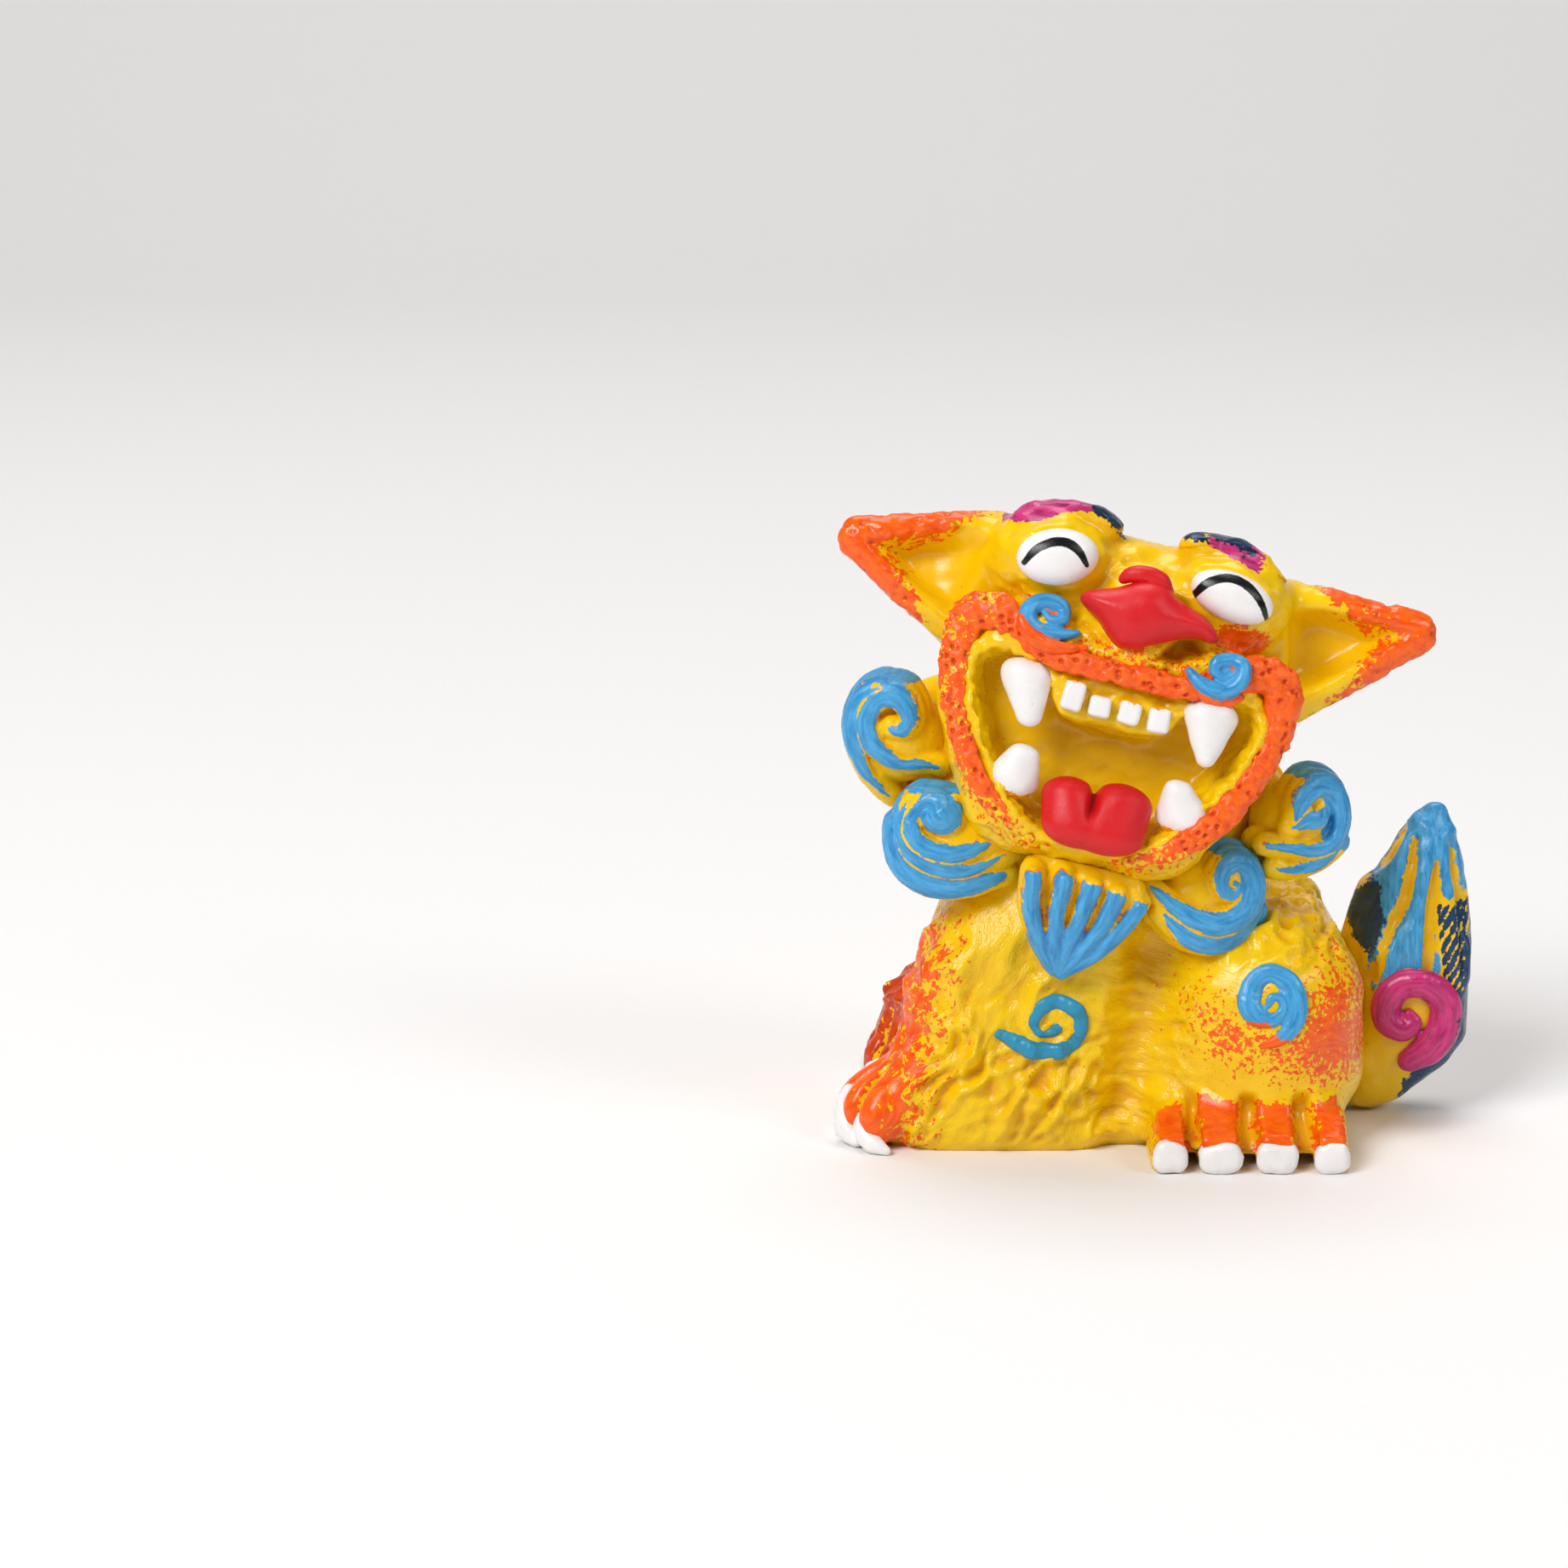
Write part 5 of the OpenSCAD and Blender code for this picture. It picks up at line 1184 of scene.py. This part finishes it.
def volute(name, side, centre, across, up, out, strands, pad, grain):
    """A cushion of clay with strands of hair coiled on it, facing out. The pad is the cushion's
    place and radius, and the side is where its outer edge is."""
    frame_of, centre, out = np.stack((across, out, up)), np.array(centre), np.array(out, float)
    lay = [np.array([(x, -(x * x + z * z) / VOLUTE_ROUND, z, 1.16 * w) for x, z, w in path]) for path in strands]
    paths = [np.column_stack((centre + path[:, :3] @ frame_of, path[:, 3])) for path in lay]
    beds = [np.column_stack((path[:, :3] - out * (0.75 + 0.5 * path[:, 3:]), np.maximum(1.25 * path[:, 3], 1.15)))
            for path in paths]
    deep = [np.column_stack((bed[:, :3] - out * 1.6, bed[:, 3] + 0.3)) for bed in beds]
    cushion = ball(centre + np.array(pad[0]) @ frame_of, [pad[1]] * 3)
    obj = welded(name + "_volute", [cushion] + [strand(path) for path in paths + beds + deep], grain, 3)
    # the strands pressed flatter, above the swell of the cushion
    p = spots(obj)
    flat, rise = (p - centre) @ np.stack((across, up), 1), (p - centre) @ out
    swell = -(flat ** 2).sum(1) / VOLUTE_ROUND
    p = p + np.outer(np.where(rise > swell, -0.36 * (rise - swell), 0), out)
    raised(obj, p, 0.05 * ripple(p, 1.0, 2.0) + 0.03 * ripple(p, 0.45, 4.0))
    # blue on the strands and all over the outer side, with ragged orange at its edges and yellow between
    ribbons = [path[:, (0, 2, 3)] for path in lay]
    comb(obj, strokes(flat, ribbons))
    inner = np.sort([within(flat, ribbon) for ribbon in ribbons], axis=0)
    blue = np.minimum(inner[-1], 0.8 * (inner[-1] - inner[-2]) - 0.05)
    top = max((path[:, 1] + path[:, 2]).max() for path in ribbons) - 0.55
    outer = np.minimum(np.minimum(np.maximum(side * flat[:, 0] - 2.4, flat[:, 1] - top), flat[:, 1] + 2.6), 0.6)
    blue = np.minimum(np.maximum(blue, outer), 0.7 * (rise - swell + 3.2))
    mark(obj, blue=blue - 0.1, under=blue - 0.18)
    return finished(obj, "curl", "blue_paint", name)


class LION_OT_mane(Operator):
    """Volutes of the mane round the face and behind the head"""
    bl_idname = "lion.mane"
    bl_label = "Mane"

    def execute(self, context):
        grain = context.scene.lion_sizes.strand_grain / MM
        for name, (centre, turn, strands) in MANE.items():
            a = math.radians(turn)
            spread = np.vstack([np.array(path)[:, :2] for path in strands])
            mid, reach = (spread.max(0) + spread.min(0)) / 2, (spread.max(0) - spread.min(0)) / 2
            across, out = (math.cos(a), math.sin(a), 0), (math.sin(a), -math.cos(a), 0)
            pad = ((mid[0], -4.4, mid[1]), min(reach) + 0.2)
            volute(name, np.sign(turn), centre, across, (0, 0, 1), out, strands, pad, grain)
        for name, (centre, turn, size) in BACK_MANE.items():
            a = math.radians(turn)
            across = LEAN @ np.array((math.cos(a), math.sin(a), 0)) * (1 if turn > 0 else -1)
            out = LEAN @ np.array((math.sin(a), -math.cos(a), 0))
            strands = [[[v * size for v in spot] for spot in path] for path in MANE["mane_left_lower"][2]]
            pad = ((0, -4.0 * size, 0.3 * size), 3.6 * size)
            volute(name, 1, on_head(centre), across, LEAN @ np.array((0, 0, 1.0)), out, strands, pad, grain * 1.2)
        return {"FINISHED"}


class LION_OT_sprigs(Operator):
    """Rolled curls pressed onto the flank and haunches"""
    bl_idname = "lion.sprigs"
    bl_label = "Sprig curls"

    def execute(self, context):
        body = bpy.data.objects["cast_body"]
        grain = 0.85 * context.scene.lion_sizes.strand_grain / MM
        for name, path, way, stout in (("chest_curl", CHEST_CURL, 1, 1.06), ("hip_curl_left", HIP_CURL, 1, 0.88),
                                       ("hip_curl_right", HIP_CURL, -1, 0.88)):
            laid_path = laid([(x, z, stout * w) for x, z, w in path], [body], (0, way, 0), 0.05)
            sprig = welded(name + "_sprig", [pressed(strand(laid_path), laid_path, 0.6)], grain, 4)
            p = spots(sprig)
            p = raised(sprig, p, 0.05 * ripple(p, 0.9, 6.0))
            comb(sprig, strokes(p[:, (0, 2)], [path]))
            if name == "chest_curl":
                finished(sprig, "sprig", "blue_paint", name)
            else:
                low = -p[:, 2]
                rubbed = 0.45 - ramp(-p[:, 0], -10.5, -8.5) * ramp(low, -13.8, -12.2) - 0.6 * ramp(low, -12.3, -11)
                mark(sprig, under=np.full(len(p), 1.0), blue=rubbed)
                finished(sprig, "curl", "blue_paint", name)
        return {"FINISHED"}


class LION_OT_tail(Operator):
    """Ribbed leaf of a tail, and the magenta curl on it"""
    bl_idname = "lion.tail"
    bl_label = "Tail"

    def execute(self, context):
        grain = context.scene.lion_sizes.strand_grain / MM
        tail = welded("ribbed_tail", [cast_copy("ribbed_tail", ("tail",))], TAIL_GRAIN, 30)
        p = spots(tail)
        p[:, 2] += 0.45 * ramp(p[:, 2], 22, 28)
        groove = np.max([within(p[:, (0, 2)], path) for path in TAIL_GROOVES], axis=0)
        ribs = np.exp(-((groove + 1.3) / 0.6) ** 2) * ramp(-p[:, 1], -2, 0) * ramp(p[:, 2], 12, 15)
        p = raised(tail, p, -(0.75 * ramp(groove, -0.35, 0.25) - 0.3 * ribs - 0.1 * ripple(p, 1.5, 4.0)))
        comb(tail, p * (1.0, 0.7, 0.18))
        # blue but for the grooves, the left edge and the bed of the curl
        flat, (x, y, z) = p[:, (0, 2)], p.T
        blue = np.minimum(x - np.interp(z, *TAIL_BARE), -groove - 0.05)
        beside = np.minimum(-within(flat, TAIL_CURL) - 0.1, np.hypot(x - 24.1, z - 9.7) - 3.4)
        blue = np.minimum(blue, np.where(y < 2, beside, 5))
        # navy on the facet and the right edge, and in lines scratched beside it
        facet = inset(flat, TAIL_FACET)
        facet = np.where(y < 3, facet, -np.abs(facet))
        edge = np.minimum(x - np.interp(z, *TAIL_DARK), 17 - z)
        hatch = ramp(x + 0.12 * (z - 15), 25.8, 26.4) * ramp(-z, -21.5, -19.5) * (y < 2)
        lines = np.sin(9.0 * (x - 0.5 * z) + 2.0 * ripple(p, (2.0, 2.0, 4.0), 3.3))
        blue -= hatch * np.clip(blue + 0.3, 0, 9)
        dark = np.maximum(np.minimum(facet, 0.6), edge * 0.6) - 0.1
        mark(tail, blue=blue, under=blue - 0.9, dark=np.maximum(dark, 3 * hatch - 3 + 0.3 * lines + 0.2))
        finished(tail, "curl", "blue_paint", "tail")
        path = laid([(x, z, 1.14 * w) for x, z, w in TAIL_CURL], [tail], (0, 1, 0), 0.3)
        curl = welded("tail_curl_sprig", [pressed(strand(path), path, 0.75)], grain, 4)
        p = spots(curl)
        p = raised(curl, p, 0.06 * ripple(p, 1.0, 6.5))
        comb(curl, strokes(p[:, (0, 2)], [TAIL_CURL]))
        mark(curl, dark=(p[:, 0] - 27.4) * 0.5 - 0.3, magenta=np.full(len(p), 1.0))
        finished(curl, "brow", "magenta_paint", "tail_curl")
        return {"FINISHED"}


def fore_claw(i, side):
    """A claw on a fanned foretoe, slanting down along the toe's front edge to the floor."""
    a = math.radians((1.6 - i) * 30)
    up, stout = (1.5, 1.25) if i == 1 and side < 0 else (1.0, 1.0)  # one near claw is bigger
    return strand([(WRIST[side] - out * math.cos(a) + along * math.sin(a),
                    side * (PAW_ASIDE + out * math.sin(a) + along * math.cos(a)), up * z, stout * half)
                   for along, out, z, half in FORE_CLAW])


def hind_claw(x, half, tilt, side):
    """A square claw on a hind toe."""
    return pellet((x, side * (FOOT_REACH[side] - 0.3), 1.48), (half - 0.12, 0.72, 1.42), (0, tilt, 0.8 * tilt), 0.95)


class LION_OT_claws(Operator):
    """Blunt white claws on every toe"""
    bl_idname = "lion.claws"
    bl_label = "Claws"

    def execute(self, context):
        for name in ("claws_fore_left", "claws_fore_right", "claws_hind_left", "claws_hind_right"):
            side = -1 if name.endswith("left") else 1
            hind = "hind" in name
            if hind:
                blocks = [hind_claw(*shape, side) for shape in HIND_TOES]
            else:
                blocks = [fore_claw(i, side) for i in range(4)]
            claws = welded(name + "_toe", blocks, SMALL_GRAIN, 6)
            p = spots(claws)
            p = raised(claws, p, 0.1 + 0.17 * ripple(p, 1.7, 3.0) + 0.05 * ripple(p, 0.7, 5.0))
            if hind:
                for x, half, _ in HIND_TOES:
                    across = np.where(np.abs(p[:, 0] - x) < half + 0.3, (p[:, 0] - x) / half, 0)
                    p[:, 2] -= 0.55 * across ** 2 * ramp(p[:, 2], 1.2, 2.6)
                    p[:, 0] -= 0.14 * half * across * ramp(-p[:, 2], -1.0, 0)
                p[:, 2] += 0.25 * ripple(p, (2.4, 9, 9), 7.0) * ramp(p[:, 2], 1.5, 2.6)
            p[:, 2] = np.maximum(p[:, 2], 0)
            put(claws, p)
            mark(claws, root=p[:, 2] - (3.0 if hind else 5.6))
            finished(claws, "tooth", "white_paint", name)
        return {"FINISHED"}


PIECES = (
    LION_OT_stage, LION_OT_body, LION_OT_head, LION_OT_lips, LION_OT_eyes, LION_OT_nose, LION_OT_moustaches,
    LION_OT_teeth, LION_OT_tongue, LION_OT_beard, LION_OT_mane, LION_OT_sprigs, LION_OT_tail, LION_OT_claws,
)


class LION_PT_panel(Panel):
    bl_idname = "LION_PT_panel"
    bl_label = "Guardian lion"
    bl_space_type = "VIEW_3D"
    bl_region_type = "UI"
    bl_category = "Lion"

    def draw(self, context):
        for group in (context.scene.lion_sizes, context.scene.lion_paints):
            for name in group.__annotations__:
                self.layout.prop(group, name)
        for piece in PIECES:
            self.layout.operator(piece.bl_idname)


CLASSES = (LionSizes, LionPaints, *PIECES, LION_PT_panel)


def register():
    for made in CLASSES:
        bpy.utils.register_class(made)
    bpy.types.Scene.lion_sizes = PointerProperty(type=LionSizes)
    bpy.types.Scene.lion_paints = PointerProperty(type=LionPaints)


def unregister():
    del bpy.types.Scene.lion_paints
    del bpy.types.Scene.lion_sizes
    for made in reversed(CLASSES):
        bpy.utils.unregister_class(made)


def main():
    register()
    for piece in PIECES:
        getattr(bpy.ops.lion, piece.bl_idname.split(".")[1])()
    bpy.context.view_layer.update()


if __name__ == "__main__":
    main()
